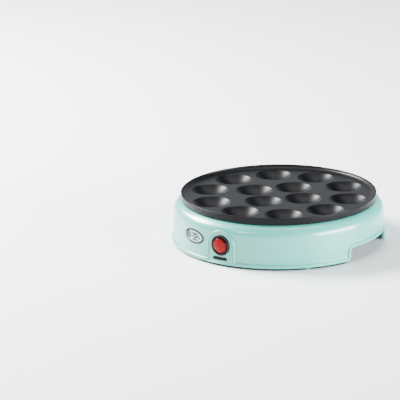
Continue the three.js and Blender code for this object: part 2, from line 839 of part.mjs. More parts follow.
// The ball-sided rocker: its sides stay inside the same ball as it tips.
function switchRocker() {
  const sideFrom = -(Math.asin(rockerBack / rockerRadius) * 180) / Math.PI;
  const sideTo = (Math.asin(rockerRim / rockerRadius) * 180) / Math.PI;
  const crownReach = (Math.asin(rimReach() / crownRadius) * 180) / Math.PI;
  const crown = arc(0, rockerCrown - crownRadius, crownRadius, 90 - crownReach, 90, 3);
  const body = turned([[0, -rockerBack], ...arc(0, 0, rockerRadius, sideFrom, sideTo, 3), ...crown.slice(1)], 22);
  const hollow = disc(rockerRadius - rockerShell, -rockerBack - 1, rockerRim - rockerShell, 14);
  const stem = block([-stemHalf, -stemHalf, -stemLength], [stemHalf, stemHalf, rockerRim - rockerShell + 0.5]);
  const pins = disc(trunnionRadius, -cavityRadius - 0.6, cavityRadius + 0.6, 10).rotate([0, 90, 0]);
  const bore = disc(plungerRadius + runGap, -stemLength - 1, -0.6, 10);
  return join([body.subtract(hollow), stem, pins]).subtract(bore).rotate([rockerTilt, 0, 0]);
}

function switchPlunger() {
  const tip = -plungerReach;
  const profile = [
    [0, tip],
    [plungerRadius * 0.7, tip + plungerRadius * 0.3],
    [plungerRadius, tip + plungerRadius],
    [plungerRadius, -0.9],
    [0, -0.9],
  ];
  return turned(profile, 10).rotate([rockerTilt, 0, 0]);
}

function switchBlade() {
  const half = [bladeWidth / 2, bladeLength / 2, bladeThickness / 2];
  const strip = block(half.map((v) => -v), half);
  return strip.rotate([-bladeTilt, 0, 0]).translate([0, 0, -bladePivot]);
}

// One spade of the switch: its inner end stops short of the blade, its outer end takes a wire.
function spade(index, inner) {
  const half = spadeWidth / 2;
  const strip = block([-half, -spadeThickness / 2, -spadeEnd], [half, spadeThickness / 2, -inner]);
  return strip.translate([0, index * spadePitch, 0]);
}

// ---------- badge ----------

// A small oval plate that follows the wall, with a raised rim and three rising waves of heat.
function badge() {
  const oval = (scale) => {
    const shape = new THREE.Shape();
    shape.absellipse(0, 0, (badgeWidth / 2) * scale, (badgeHeight / 2) * scale, 0, 2 * Math.PI, false, 0);
    return shape;
  };
  const low = footWall - 9;
  const high = footWall + 9;
  const wave = () => {
    const side = (x) => Array.from({ length: 6 }, (_, i) => {
      const t = i / 5 - 0.5;
      return new THREE.Vector2(x + 0.9 * Math.sin(2 * Math.PI * t), t * badgeHeight * 0.55);
    });
    return new THREE.Shape([...side(0.6), ...side(-0.6).reverse()]);
  };
  const plate = prism(oval(1), low, high, 9);
  const rim = plate.subtract(prism(oval(0.9), low - 1, high + 1, 9));
  const waves = [-5, 0, 5].map((x) => prism(wave(), low, high).translate([x, 0, 0]));
  const frame = facing(badgeAngle, 0, badgeZ);
  const base = sleeve(stackGap, stackGap + badgeThickness, 8, shoulderZ);
  const raised = sleeve(stackGap + badgeThickness / 2, stackGap + badgeThickness * 1.8, 8, shoulderZ);
  return base.intersect(moved(plate, frame)).add(raised.intersect(moved(join([rim, ...waves]), frame)));
}

// ---------- the assembly ----------

const mint = finish(0xb4dcd1, 0.28);
const nonStick = finish(0x2b2b2e, 0.42, 0.2);
const blackPlastic = finish(0x17181a, 0.4);
const redLens = finish(0xc4141c, 0.2);
const steel = finish(0xb9bcbf, 0.38, 1);
const brass = finish(0xc9a25a, 0.35, 1);
const darkTube = finish(0x55585c, 0.5, 0.8);
const rubber = finish(0x26272a, 0.85);
const ceramic = finish(0xe9e4d8, 0.6);
const wireColours = {
  wire_line: finish(0x6b3f22, 0.5),
  wire_load: finish(0x3a3a3c, 0.5),
  wire_neutral: finish(0x2457a6, 0.5),
  wire_earth: finish(0x5a9b2f, 0.5),
};

function addHousing() {
  addPiece("body_shell", bodyShell(), mint);
  addPiece("base_cover", baseCover(), blackPlastic);
  addPiece("badge", badge(), steel);
  const baseScrew = screw(baseScrewRadius, bossTop - baseUnder + baseScrewBite - 1, 3.4, 2);
  footAngles.forEach((angle, i) => addPiece(`foot_${i + 1}`, foot(), rubber, onRing(footRing, angle)));
  basePostAngles.forEach((angle, i) =>
    addPiece(`base_screw_${i + 1}`, baseScrew, steel, onRing(basePostRing, angle, baseUnder - stackGap)),
  );
}

function addHeating() {
  addPiece("cooking_plate", cookingPlate(), nonStick);
  addPiece("heating_element", heatingElement(), darkTube);
  addPiece("element_clamp", elementClamp(), steel);
  addPiece("heat_shield", heatShield(), steel);
  addPiece("thermostat", thermostat(), steel);
  const plateScrew = screw(plateScrewRadius, plateBossEnd - platePostEnd + plateScrewBite, 3.6, 2.4);
  const clampScrew = screw(clampScrewRadius, clampThickness + clampScrewBite, 2.8, 1.8);
  const spacer = ring(plateScrewRadius + screwClearance, washerRadius, 0, washerThickness, 10);
  platePostAngles.forEach((angle, i) => {
    const low = platePostEnd - stackGap;
    const clampLow = clampTop - clampThickness - stackGap;
    addPiece(`plate_screw_${i + 1}`, plateScrew, steel, onRing(platePostRing, angle, low));
    addPiece(`heat_washer_${i + 1}`, spacer, ceramic, onRing(platePostRing, angle, washerTop - washerThickness));
    addPiece(`clamp_screw_${i + 1}`, clampScrew, steel, onRing(clampBossRing, clampBossAngles[i], clampLow));
  });
  const earScrew = screw(thermostatScrewRadius, 0.8 + thermostatScrewBite, 2.5, 1.6);
  const earZ = flangeTop - 0.8 - stackGap;
  [1, -1].forEach((side, i) => {
    const place = onRing(thermostatEar, landTurn + 90 * side, earZ);
    addPiece(`thermostat_screw_${i + 1}`, earScrew, steel, place);
  });
}

function addWiring() {
  for (const [name, made] of Object.entries(wires())) addPiece(name, made, wireColours[name]);
  addPiece("fuse_sleeve", fuseSleeve(), ceramic);
  addPiece("terminal_block", terminalBlock(), ceramic);
  addPiece("cord_gland", cordGland(), blackPlastic);
  addPiece("cord_clamp", cordClamp(), blackPlastic);
  const blockTop = baseTop + blockBossRise + stackGap + blockSize[2];
  const blockScrew = screw(clampScrewRadius, blockSize[2] + blockBossRise - 1, 3, 1.8).rotate([180, 0, 0]);
  const cordScrew = screw(clampScrewRadius, 10, 3, 1.8).rotate([180, 0, 0]);
  addPiece("block_screw", blockScrew, steel, new THREE.Vector3(0, blockY, blockTop + stackGap));
  [1, -1].forEach((side, i) => {
    const place = new THREE.Vector3(side * cordClampReach, cordClampY, glandZ + 6 + stackGap);
    addPiece(`cord_screw_${i + 1}`, cordScrew, steel, place);
  });
}

function addSwitch() {
  const bench = new THREE.Group();
  bench.applyMatrix4(facing(0, rockerAxis, switchHeight));
  root.add(bench);
  addPiece("switch_housing", switchHousing(), blackPlastic, null, bench);
  addPiece("switch_rocker", switchRocker(), redLens, null, bench);
  addPiece("switch_plunger", switchPlunger(), brass, null, bench);
  addPiece("switch_blade", switchBlade(), brass, null, bench);
  const fulcrum = bladePivot + bladeThickness / 2 + runGap;
  const contact = bladePivot + (bladeLength / 2) * Math.sin(deg(bladeTilt)) + bladeThickness / 2 + runGap;
  addPiece("terminal_line", spade(0, fulcrum), brass, null, bench);
  addPiece("terminal_load", spade(-1, contact), brass, null, bench);
  addPiece("terminal_lamp", spade(1, contact), brass, null, bench);
}

addHousing();
addHeating();
addWiring();
addSwitch();

export default root;
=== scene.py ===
# Round maker for small pancakes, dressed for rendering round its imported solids.
import math
import bpy
import numpy as np
from mathutils import Matrix, Vector
from mathutils.geometry import delaunay_2d_cdt


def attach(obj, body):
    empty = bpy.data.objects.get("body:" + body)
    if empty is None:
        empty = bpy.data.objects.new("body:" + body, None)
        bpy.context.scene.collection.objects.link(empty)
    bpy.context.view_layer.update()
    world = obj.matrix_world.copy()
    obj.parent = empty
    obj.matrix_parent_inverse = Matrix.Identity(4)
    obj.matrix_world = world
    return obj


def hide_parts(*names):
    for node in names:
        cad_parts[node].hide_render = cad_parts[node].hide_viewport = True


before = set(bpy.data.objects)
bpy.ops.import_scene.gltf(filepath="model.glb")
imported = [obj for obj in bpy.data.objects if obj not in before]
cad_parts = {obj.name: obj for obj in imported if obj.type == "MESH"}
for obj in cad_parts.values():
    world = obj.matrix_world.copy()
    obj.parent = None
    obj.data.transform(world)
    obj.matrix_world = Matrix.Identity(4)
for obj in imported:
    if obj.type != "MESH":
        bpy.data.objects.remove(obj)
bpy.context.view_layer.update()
print("solids loaded:", len(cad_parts), "nodes")

mm = 0.001  # pieces are in millimetres and degrees, the camera and the lights in metres
mainBody = "maker"


# Points on a line through the corners, each inner corner rounded by its radius.
# A corner's rounding is a quadratic arc between the two points where it leaves the straight sides.
def roundedLine(corners, radii, steps=5):
    corners = np.asarray(corners, float)
    out = [corners[:1]]
    s = np.linspace(0, 1, steps + 1)[:, None]
    for before, corner, after, radius in zip(corners[:-2], corners[1:-1], corners[2:], radii):
        a, b = before - corner, after - corner
        la, lb = np.linalg.norm(a), np.linalg.norm(b)
        half = math.acos(np.clip(a @ b / (la * lb), -1, 1)) / 2
        reach = min(radius / max(math.tan(half), 1e-6), 0.49 * la, 0.49 * lb)
        if reach < 1e-6:
            out.append(corner[None])
            continue
        p, q = corner + a / la * reach, corner + b / lb * reach
        out.append((1 - s) ** 2 * p + 2 * s * (1 - s) * corner + s ** 2 * q)
    out.append(corners[-1:])
    return np.concatenate(out)


# Quads that join a grid of rows x columns of points, closed round in either direction if asked.
def gridQuads(rows, columns, closeRows=False, closeColumns=False):
    r = np.arange(rows if closeRows else rows - 1)[:, None]
    c = np.arange(columns if closeColumns else columns - 1)[None, :]
    r2, c2 = (r + 1) % rows, (c + 1) % columns
    quads = np.stack([r * columns + c, r * columns + c2, r2 * columns + c2, r2 * columns + c], -1)
    return quads.reshape(-1, 4)


# Joins several pairs of points and faces into one pair.
def gathered(parts):
    points, faces, start = [], [], 0
    for p, f in parts:
        points.append(np.asarray(p, float).reshape(-1, 3))
        faces.append(f + start)
        start += len(points[-1])
    return np.concatenate(points), faces


# Merges points that lie in one place and drops the corners that a face then has twice.
def welded(points, faces, grain=2e-6):
    keys = np.round(points / grain).astype(np.int64)
    _, first, inverse = np.unique(keys, axis=0, return_index=True, return_inverse=True)
    inverse = inverse.reshape(-1)
    kept = []
    for block in faces:
        f = inverse[block]
        if f.shape[1] == 3:
            good = (f[:, 0] != f[:, 1]) & (f[:, 1] != f[:, 2]) & (f[:, 2] != f[:, 0])
            kept.append(f[good])
            continue
        same = f == np.roll(f, -1, axis=1)
        kept.append(f[~same.any(1)])
        for k in range(4):
            one = same[:, k] & (same.sum(1) == 1)
            kept.append(np.delete(f[one], k, axis=1))
    return points[first], [k for k in kept if len(k)]


# Signed volume inside the faces, by summing the solids between each face and the origin.
def volumeOf(points, faces):
    total = 0.0
    for f in faces:
        for k in range(1, f.shape[1] - 1):
            a, b, c = points[f[:, 0]], points[f[:, k]], points[f[:, k + 1]]
            total += np.einsum("ij,ij->i", a, np.cross(b, c)).sum() / 6
    return total


# Puts points and faces into a mesh object, facing out, smooth except across edges sharper than
# an angle. The faces are one array or a list of arrays.
def addMesh(name, points, faces, body, slot, material, replaced=(), sharp=35):
    points = np.asarray(points, float).reshape(-1, 3)
    points, faces = welded(points, faces if isinstance(faces, list) else [faces])
    if volumeOf(points, faces) < 0:
        faces = [f[:, ::-1] for f in faces]
    mesh = bpy.data.meshes.new(name)
    mesh.from_pydata(points.tolist(), [], [row for f in faces for row in f.tolist()])
    mesh.shade_smooth()
    mesh.set_sharp_from_angle(angle=math.radians(sharp))
    mesh.materials.append(material)
    piece = bpy.data.objects.new(name, mesh)
    bpy.context.scene.collection.objects.link(piece)
    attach(piece, body)
    if replaced:
        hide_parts(*replaced)
    return piece


# A profile of (radius, height) turned round the Z axis.
def turned(profile, segments):
    a = np.linspace(0, 2 * math.pi, segments, endpoint=False)
    r, z = np.asarray(profile, float).T * mm
    up = np.repeat(z[:, None], segments, 1)
    grid = np.stack([r[:, None] * np.cos(a), r[:, None] * np.sin(a), up], -1)
    return grid.reshape(-1, 3), gridQuads(len(r), segments, closeColumns=True)


# The same points after a turn and a shift.
def placed(part, matrix):
    points, faces = part
    m = np.array(matrix)
    return points @ m[:3, :3].T + m[:3, 3], faces


# The point on a ring round the Z axis at an angle from the front: x is the sine, y is less the
# cosine.
def onRing(radius, angle):
    a = math.radians(angle)
    return radius * math.sin(a), -radius * math.cos(a)


# Matrix whose z points straight out of the housing at an angle from the front, x round it and y up.
def facing(angle, radius, height):
    a = math.radians(angle)
    return Matrix(((math.cos(a), 0, math.sin(a), radius * mm * math.sin(a)),
                   (math.sin(a), 0, -math.cos(a), -radius * mm * math.cos(a)),
                   (0, 1, 0, height * mm), (0, 0, 0, 1)))


# Smooth step from 0 to 1: three squares less two cubes.
def smoothStep(x):
    x = np.clip(x, 0, 1)
    return x * x * (3 - 2 * x)


# A noise texture on object coordinates.
def addNoise(tree, place, scale, detail):
    noise = tree.nodes.new("ShaderNodeTexNoise")
    noise.inputs["Scale"].default_value = scale
    noise.inputs["Detail"].default_value = detail
    tree.links.new(place.outputs["Object"], noise.inputs["Vector"])
    return noise


# A finish from three noises: one blends the colour into the tint, one varies the roughness by
# the spread either way, and one lifts the surface. The sockets are set on the shader itself.
def finish(name, color, tint, roughness, spread, tintScale, grainScale, bump, depth, metal=0.0,
           sockets=None):
    material = bpy.data.materials.new(name)
    material.use_nodes = True
    tree = material.node_tree
    nodes, links = tree.nodes, tree.links
    shader = nodes["Principled BSDF"]
    place = nodes.new("ShaderNodeTexCoord")
    mix = nodes.new("ShaderNodeMix")
    mix.data_type = "RGBA"
    mix.inputs[6].default_value = (*color, 1)
    mix.inputs[7].default_value = (*tint, 1)
    links.new(addNoise(tree, place, tintScale, 4).outputs["Fac"], mix.inputs[0])
    links.new(mix.outputs[2], shader.inputs["Base Color"])
    gloss = nodes.new("ShaderNodeMapRange")
    gloss.inputs["To Min"].default_value = roughness - spread
    gloss.inputs["To Max"].default_value = roughness + spread
    links.new(addNoise(tree, place, tintScale * 2.3, 6).outputs["Fac"], gloss.inputs["Value"])
    links.new(gloss.outputs["Result"], shader.inputs["Roughness"])
    lift = nodes.new("ShaderNodeBump")
    lift.inputs["Strength"].default_value = bump
    lift.inputs["Distance"].default_value = depth * mm
    links.new(addNoise(tree, place, grainScale, 2).outputs["Fac"], lift.inputs["Height"])
    links.new(lift.outputs["Normal"], shader.inputs["Normal"])
    shader.inputs["Metallic"].default_value = metal
    for socket, value in (sockets or {}).items():
        shader.inputs[socket].default_value = value
    return material


# A wire's sheath.
def sheath(name, color, tint):
    return finish(name, color, tint, roughness=0.45, spread=0.08, tintScale=80, grainScale=900,
                  bump=0.15, depth=0.04)


mintPlastic = finish(
    "mint plastic", color=(0.047, 0.335, 0.277), tint=(0.056, 0.352, 0.292), roughness=0.33,
    spread=0.03, tintScale=9, grainScale=700, bump=0.04, depth=0.03,
    sockets={"Specular IOR Level": 0.6, "Coat Weight": 0.4, "Coat Roughness": 0.12})
nonStick = finish(
    "non-stick coating", color=(0.0025, 0.0026, 0.003), tint=(0.004, 0.0042, 0.005), roughness=0.38,
    spread=0.02, tintScale=40, grainScale=900, bump=0.02, depth=0.03,
    sockets={"Specular IOR Level": 0.1})
blackPlastic = finish(
    "black plastic", color=(0.006, 0.006, 0.0065), tint=(0.01, 0.01, 0.011), roughness=0.24,
    spread=0.04, tintScale=30, grainScale=900, bump=0.05, depth=0.03,
    sockets={"Specular IOR Level": 0.15})
coverPlastic = finish(
    "cover plastic", color=(0.05, 0.056, 0.06), tint=(0.065, 0.07, 0.074), roughness=0.5,
    spread=0.07, tintScale=25, grainScale=1100, bump=0.35, depth=0.12)
# Painted shade: a dark finish for the bar that stands in for the shade inside the slot under the
# switch.
shadeDark = finish(
    "slot shade", color=(0.004, 0.009, 0.008), tint=(0.006, 0.012, 0.011), roughness=0.7,
    spread=0.05, tintScale=60, grainScale=900, bump=0.2, depth=0.05,
    sockets={"Specular IOR Level": 0.1})
rubber = finish(
    "foot rubber", color=(0.02, 0.02, 0.021), tint=(0.032, 0.032, 0.033), roughness=0.75,
    spread=0.08, tintScale=60, grainScale=1300, bump=0.4, depth=0.1)
zincSteel = finish(
    "zinc plated steel", color=(0.55, 0.55, 0.56), tint=(0.66, 0.65, 0.62), roughness=0.32,
    spread=0.08, tintScale=90, grainScale=600, bump=0.15, depth=0.04, metal=1.0)
shieldSteel = finish(
    "shield steel", color=(0.6, 0.6, 0.61), tint=(0.7, 0.7, 0.69), roughness=0.38,
    spread=0.08, tintScale=20, grainScale=300, bump=0.2, depth=0.1, metal=1.0)
tubeSteel = finish(
    "heat dulled tube", color=(0.16, 0.16, 0.165), tint=(0.24, 0.2, 0.17), roughness=0.5,
    spread=0.1, tintScale=40, grainScale=900, bump=0.3, depth=0.08, metal=0.9)
brassMetal = finish(
    "brass", color=(0.62, 0.44, 0.17), tint=(0.7, 0.52, 0.24), roughness=0.3,
    spread=0.07, tintScale=90, grainScale=900, bump=0.1, depth=0.03, metal=1.0)
ceramicBody = finish(
    "ceramic", color=(0.74, 0.71, 0.64), tint=(0.8, 0.78, 0.72), roughness=0.55,
    spread=0.08, tintScale=60, grainScale=1400, bump=0.3, depth=0.08)
sleeveBrown = sheath("brown sheath", (0.12, 0.05, 0.02), (0.16, 0.07, 0.03))
sleeveBlack = sheath("black sheath", (0.02, 0.02, 0.022), (0.03, 0.03, 0.032))
sleeveBlue = sheath("blue sheath", (0.02, 0.08, 0.33), (0.03, 0.1, 0.38))
sleeveGreen = sheath("green sheath", (0.09, 0.33, 0.05), (0.12, 0.38, 0.06))
badgeSilver = finish(
    "badge silver", color=(0.21, 0.35, 0.32), tint=(0.25, 0.39, 0.36), roughness=0.4,
    spread=0.05, tintScale=120, grainScale=1200, bump=0.08, depth=0.02)
badgeInk = finish(
    "badge ink", color=(0.008, 0.009, 0.01), tint=(0.014, 0.015, 0.016), roughness=0.5,
    spread=0.05, tintScale=120, grainScale=1200, bump=0.08, depth=0.02,
    sockets={"Specular IOR Level": 0.15})
paleTable = finish(
    "pale table", color=(0.9, 0.9, 0.9), tint=(0.92, 0.92, 0.92), roughness=0.38,
    spread=0.02, tintScale=3, grainScale=60, bump=0.0, depth=0.01,
    sockets={"Specular IOR Level": 0.3})
print("finishes made")


view = dict(place=(1.4476, -2.3159, 0.8531), forward=(-0.5356, 0.7957, -0.2828), roll=0.75,
            lens=217.7, sensor=36, farthest=50)


# Places the camera and gives the level directions to its right and away from it.
def addCamera():
    camera = bpy.data.cameras.new("camera")
    camera.lens = view["lens"]
    camera.sensor_width = view["sensor"]
    camera.clip_end = view["farthest"]
    holder = bpy.data.objects.new("camera", camera)
    forward = Vector(view["forward"]).normalized()
    right = forward.cross(Vector((0, 0, 1))).normalized()
    down = forward.cross(right)
    roll = math.radians(view["roll"])
    rolledRight = right * math.cos(roll) + down * math.sin(roll)
    rolledDown = down * math.cos(roll) - right * math.sin(roll)
    turn = Matrix((rolledRight, -rolledDown, -forward)).transposed().to_4x4()
    holder.matrix_world = Matrix.Translation(view["place"]) @ turn
    bpy.context.scene.collection.objects.link(holder)
    bpy.context.scene.camera = holder
    return right, Vector((forward.x, forward.y, 0)).normalized()


right, away = addCamera()


# Each panel stands at a distance to the camera's right, away from it and up, and looks at the spot.
spot = Vector((0, 0, 0.03))
panels = {
    "window left": dict(side=-1.37, depth=0.72, up=1.15, size=(0.95, 0.7), power=260),
    "window right": dict(side=3.1, depth=-1.63, up=0.5, size=(3.2, 0.95), power=710,
                         color=(0.9, 0.97, 1.0)),
    "window high": dict(side=-0.9, depth=-0.1, up=1.0, size=(0.1, 0.1), power=2),
    "wall behind": dict(side=0.3, depth=2.2, up=0.7, size=(2.6, 0.9), power=8,
                        color=(0.9, 0.95, 1.0)),
    "lamp": dict(side=-0.87, depth=-0.96, up=0.76, size=(0.2, 0.12), power=5),
    "ceiling": dict(side=0.2, depth=0.2, up=2.2, size=(1.8, 1.4), power=45),
}
room = dict(color=(0.9, 0.95, 1.0, 1), strength=0.1, floorHalf=9.0)


def addPanel(name, side, depth, up, size, power, color=(1, 1, 1)):
    lamp = bpy.data.lights.new(name, "AREA")
    lamp.shape = "RECTANGLE"
    lamp.size, lamp.size_y = size
    lamp.energy = power
    lamp.color = color
    holder = bpy.data.objects.new(name, lamp)
    place = right * side + away * depth + Vector((0, 0, up))
    holder.location = place
    holder.visible_camera = False
    holder.rotation_euler = (spot - place).to_track_quat("-Z", "Y").to_euler()
    bpy.context.scene.collection.objects.link(holder)


def addFloor():
    half = room["floorHalf"]
    corners = [(-half, -half, 0), (half, -half, 0), (half, half, 0), (-half, half, 0)]
    mesh = bpy.data.meshes.new("floor")
    mesh.from_pydata(corners, [], [(0, 1, 2, 3)])
    mesh.materials.append(paleTable)
    floor = bpy.data.objects.new("floor", mesh)
    bpy.context.scene.collection.objects.link(floor)


def addLight():
    world = bpy.data.worlds.new("room")
    world.use_nodes = True
    background = world.node_tree.nodes["Background"]
    background.inputs["Color"].default_value = room["color"]
    background.inputs["Strength"].default_value = room["strength"]
    bpy.context.scene.world = world
    for name, panel in panels.items():
        addPanel(name, **panel)


addFloor()
addLight()
print("camera, floor and light set")


# The wall leans in by its draft over its straight height. Its distances round are measured at
# a radius of "around". The wall is sunk behind the switch's pad, where nothing of it shows.
housing = dict(foot=124.25, edge=2.2, draft=0.7, straight=35.2, top=50.4, shoulder=13.0, wall=2.6,
               around=124.0, bead=1.5, beadWidth=3.9, beadLead=0.6, beadFall=1.15, edgeRound=0.8,
               innerEdge=0.5, opening=107.6, lipOuter=108.5, lipUnder=47.8, lipRound=0.6,
               notchAngle=94.7, notchHalf=46.0, notchTop=14.8, notchCorner=5.4, notchFlare=4.8,
               sink=2.0, sinkHalf=13.5, sinkLow=1.0, sinkHigh=34.0, sinkSoft=2.0)
# How the skin's grid is spread: its columns, and its rows' distances from the bottom edge.
skin = dict(columns=480, cornerSteps=12, spacing=2.0, bendSpacing=0.14,
            edgeRows=[0, 0.1, 0.25, 0.5, 0.85, 1.5, 2.3, 3.0, 3.2, 3.4, 3.65, 3.9, 4.1, 4.3, 5.0,
                      6.2], bendRows=14, shoulderRows=14, innerStep=3, innerEdgeRows=[10, 5, 3],
            normalEvening=14, columnEvening=260, leastAdvance=0.05)
wallTurn = 2 * math.pi * housing["around"]
wallTilt = math.atan2(housing["draft"], housing["straight"])


# The wall's profile by distance up its surface: a drafted line, then an arc over the shoulder.
# Gives radius, height, the outward direction in the (radius, height) plane and the line's length.
def wallProfile(h):
    shoulder = housing["shoulder"]
    centreZ = housing["top"] - shoulder
    lineEndZ = centreZ + shoulder * math.sin(wallTilt)
    lineEndR = housing["foot"] - math.tan(wallTilt) * (lineEndZ - housing["edge"])
    centreR = lineEndR - shoulder * math.cos(wallTilt)
    length = (lineEndZ - housing["edge"]) / math.cos(wallTilt)
    a = np.clip((h - length) / shoulder + wallTilt, wallTilt, math.pi / 2)
    straight = h < length
    r = np.where(straight, housing["foot"] - math.sin(wallTilt) * h, centreR + shoulder * np.cos(a))
    z = np.where(straight, housing["edge"] + math.cos(wallTilt) * h, centreZ + shoulder * np.sin(a))
    nr = np.where(straight, math.cos(wallTilt), np.cos(a))
    nz = np.where(straight, math.sin(wallTilt), np.sin(a))
    return r, z, nr, nz, length


# A point on the wall: u is the distance round it, h the distance up it, and lift the distance
# out of it.
def onWall(u, h, lift):
    r, z, nr, nz, _ = wallProfile(h)
    a = u / housing["around"]
    radius = (r + lift * nr) * mm
    return np.stack([radius * np.sin(a), -radius * np.cos(a), (z + lift * nz) * mm], -1)


# The wall's bottom edge as (u, h) points all the way round and up over each notch. The points are
# spread evenly over a weight, which grows with the length and with the turning of the line.
def bottomEdge():
    corners, radii = [(-wallTurn / 2, 0.0)], []
    w, top = housing["notchHalf"], housing["notchTop"]
    flare, corner = housing["notchFlare"], housing["notchCorner"]
    for side in (-1, 1):
        u = math.radians(side * housing["notchAngle"]) * housing["around"]
        corners += [(u - w, 0), (u - w, top), (u + w, top), (u + w, 0)]
        radii += [flare, corner, corner, flare]
    corners.append((wallTurn / 2, 0.0))
    line = roundedLine(corners, radii, skin["cornerSteps"])
    line = line[np.r_[True, np.hypot(*np.diff(line, axis=0).T) > 1e-6]]
    step = np.diff(line, axis=0)
    length = np.hypot(*step.T)
    heading = np.unwrap(np.arctan2(step[:, 1], step[:, 0]))
    bend = np.zeros(len(length))
    bend[1:] += np.abs(np.diff(heading)) / 2
    bend[:-1] += np.abs(np.diff(heading)) / 2
    weight = np.r_[0, np.cumsum(length / skin["spacing"] + bend / skin["bendSpacing"])]
    at = np.linspace(0, weight[-1], skin["columns"], endpoint=False)
    return np.stack([np.interp(at, weight, line[:, 0]), np.interp(at, weight, line[:, 1])], -1)


# Nearest point of a closed edge line to each of many points, the line repeated to each side.
def nearestOnEdge(points, edge, batch=512):
    shift = (wallTurn, 0)
    line = np.concatenate([edge - shift, edge, edge + shift, edge[:1] + (2 * wallTurn, 0)])
    a, b = line[:-1], line[1:]
    out = np.empty_like(points)
    for start in range(0, len(points), batch):
        p = points[start:start + batch, None]
        t = np.clip(((p - a) * (b - a)).sum(-1) / ((b - a) ** 2).sum(-1).clip(1e-12), 0, 1)
        q = a + (b - a) * t[..., None]
        best = ((p - q) ** 2).sum(-1).argmin(1)
        out[start:start + batch] = q[np.arange(len(best)), best]
    return out


# How far the surface stands out of the wall at a distance from its edge: a rounded edge, then
# the bead, then a smooth fall to the wall.
def beadLift(d):
    rounding = housing["edgeRound"]
    short = np.clip(rounding - d, 0, rounding)
    dip = rounding - np.sqrt(np.clip(rounding ** 2 - short ** 2, 0, None))
    fall = smoothStep((d - housing["beadWidth"] + housing["beadLead"]) / housing["beadFall"])
    return housing["bead"] * (1 - fall) - dip


# Repeated three-point averaging of values round a closed line.
def evened(values, times):
    for _ in range(times):
        values = (np.roll(values, 1, 0) + 2 * values + np.roll(values, -1, 0)) / 4
    return values


# Rows at set distances from the bottom edge. Each goes out along the evened normals, then its
# points slide along the line from their nearest point on the edge until the distance is right.
def rowsByEdge(edge, ahead):
    behind = np.roll(ahead, 1, 0)
    normal = np.stack([-(ahead + behind)[:, 1], (ahead + behind)[:, 0]], -1)
    normal = evened(normal / np.linalg.norm(normal, axis=1)[:, None], skin["normalEvening"])
    normal /= np.linalg.norm(normal, axis=1)[:, None]
    rows = [edge]
    for distance in skin["edgeRows"][1:]:
        p = edge + normal * distance
        for _ in range(3):
            q = nearestOnEdge(p, edge)
            gap = np.linalg.norm(p - q, axis=1)[:, None].clip(1e-6)
            p = q + (p - q) / gap * distance
        rows.append(p)
    return rows


# Rows from the last row by the edge to the upright lines: cubic curves that leave the way the
# last two rows lead and arrive straight up.
def bendingRows(rows, upright):
    last = rows[-1]
    reach = np.linalg.norm(upright - last, axis=1)[:, None]
    leave = last - rows[-2]
    leave /= np.linalg.norm(leave, axis=1)[:, None]
    bent = []
    for v in np.linspace(0, 1, skin["bendRows"] + 1)[1:]:
        a, b = 2 * v ** 3 - 3 * v ** 2 + 1, v ** 3 - 2 * v ** 2 + v
        c, d = 3 * v ** 2 - 2 * v ** 3, v ** 3 - v ** 2
        bent.append(a * last + b * reach * leave + c * upright + d * reach * np.array((0, 1.0)))
    return bent


# How far the wall is sunk behind the pad: full inside a box round the front, with smooth sides.
def sinkBehindPad(u, h):
    soft = housing["sinkSoft"]
    fromFront = np.abs((u + wallTurn / 2) % wallTurn - wallTurn / 2)
    share = smoothStep((housing["sinkHalf"] - fromFront) / soft)
    share = share * smoothStep((h - housing["sinkLow"]) / soft)
    share = share * smoothStep((housing["sinkHigh"] - h) / soft)
    return housing["sink"] * share


# The housing's skin. Columns start on the bottom edge. The first rows run parallel to that edge,
# the next ones bend to upright lines, and the last go over the shoulder, round the opening's lip
# and back down inside.
def addHousing():
    edge = bottomEdge()
    ahead = np.roll(edge, -1, 0) - edge
    ahead[-1, 0] += wallTurn
    rows = rowsByEdge(edge, ahead)
    lineLength = wallProfile(np.zeros(1))[-1]
    advance = evened(ahead[:, 0], skin["columnEvening"]).clip(skin["leastAdvance"])
    across = np.cumsum(advance) * wallTurn / advance.sum()
    across += (edge[:, 0] - across).mean()
    upright = np.stack([across, np.full(len(edge), lineLength)], -1)
    rows += bendingRows(rows, upright)
    over = housing["shoulder"] * (math.pi / 2 - wallTilt)
    rows += [upright + (0, v * over) for v in np.linspace(0, 1, skin["shoulderRows"] + 1)[1:]]
    lifts = [beadLift(distance) for distance in skin["edgeRows"]]
    lifts += [0.0] * (len(rows) - len(lifts))
    grid = [onWall(*p.T, lift - sinkBehindPad(*p.T)) for p, lift in zip(rows, lifts)]
    a = rows[-1][:, 0] / housing["around"]
    lip = [(housing["lipOuter"], housing["top"]), (housing["opening"], housing["top"]),
           (housing["opening"], housing["lipUnder"]), (housing["lipOuter"], housing["lipUnder"])]
    for r, z in roundedLine(lip, [housing["lipRound"]] * 2, 3)[1:-1]:
        grid.append(np.stack([r * np.sin(a), -r * np.cos(a), np.full(len(a), z)], -1) * mm)
    innerRows = [*range(len(rows) - 1, len(skin["edgeRows"]), -skin["innerStep"])]
    for k in innerRows + skin["innerEdgeRows"]:
        grid.append(onWall(*rows[k].T, -housing["wall"]))
    grid.append(onWall(*edge.T, housing["innerEdge"] - housing["wall"]))
    quads = gridQuads(len(grid), len(edge), closeRows=True, closeColumns=True)
    addMesh("housingSkin", grid, quads, mainBody, "mint_plastic", mintPlastic, ["body_shell"], 50)


# Signed distance to a bar with round ends: positive outside, negative inside.
def stadiumGap(u, h, halfWidth, halfHeight):
    return np.hypot(np.clip(np.abs(u) - (halfWidth - halfHeight), 0, None), h) - halfHeight


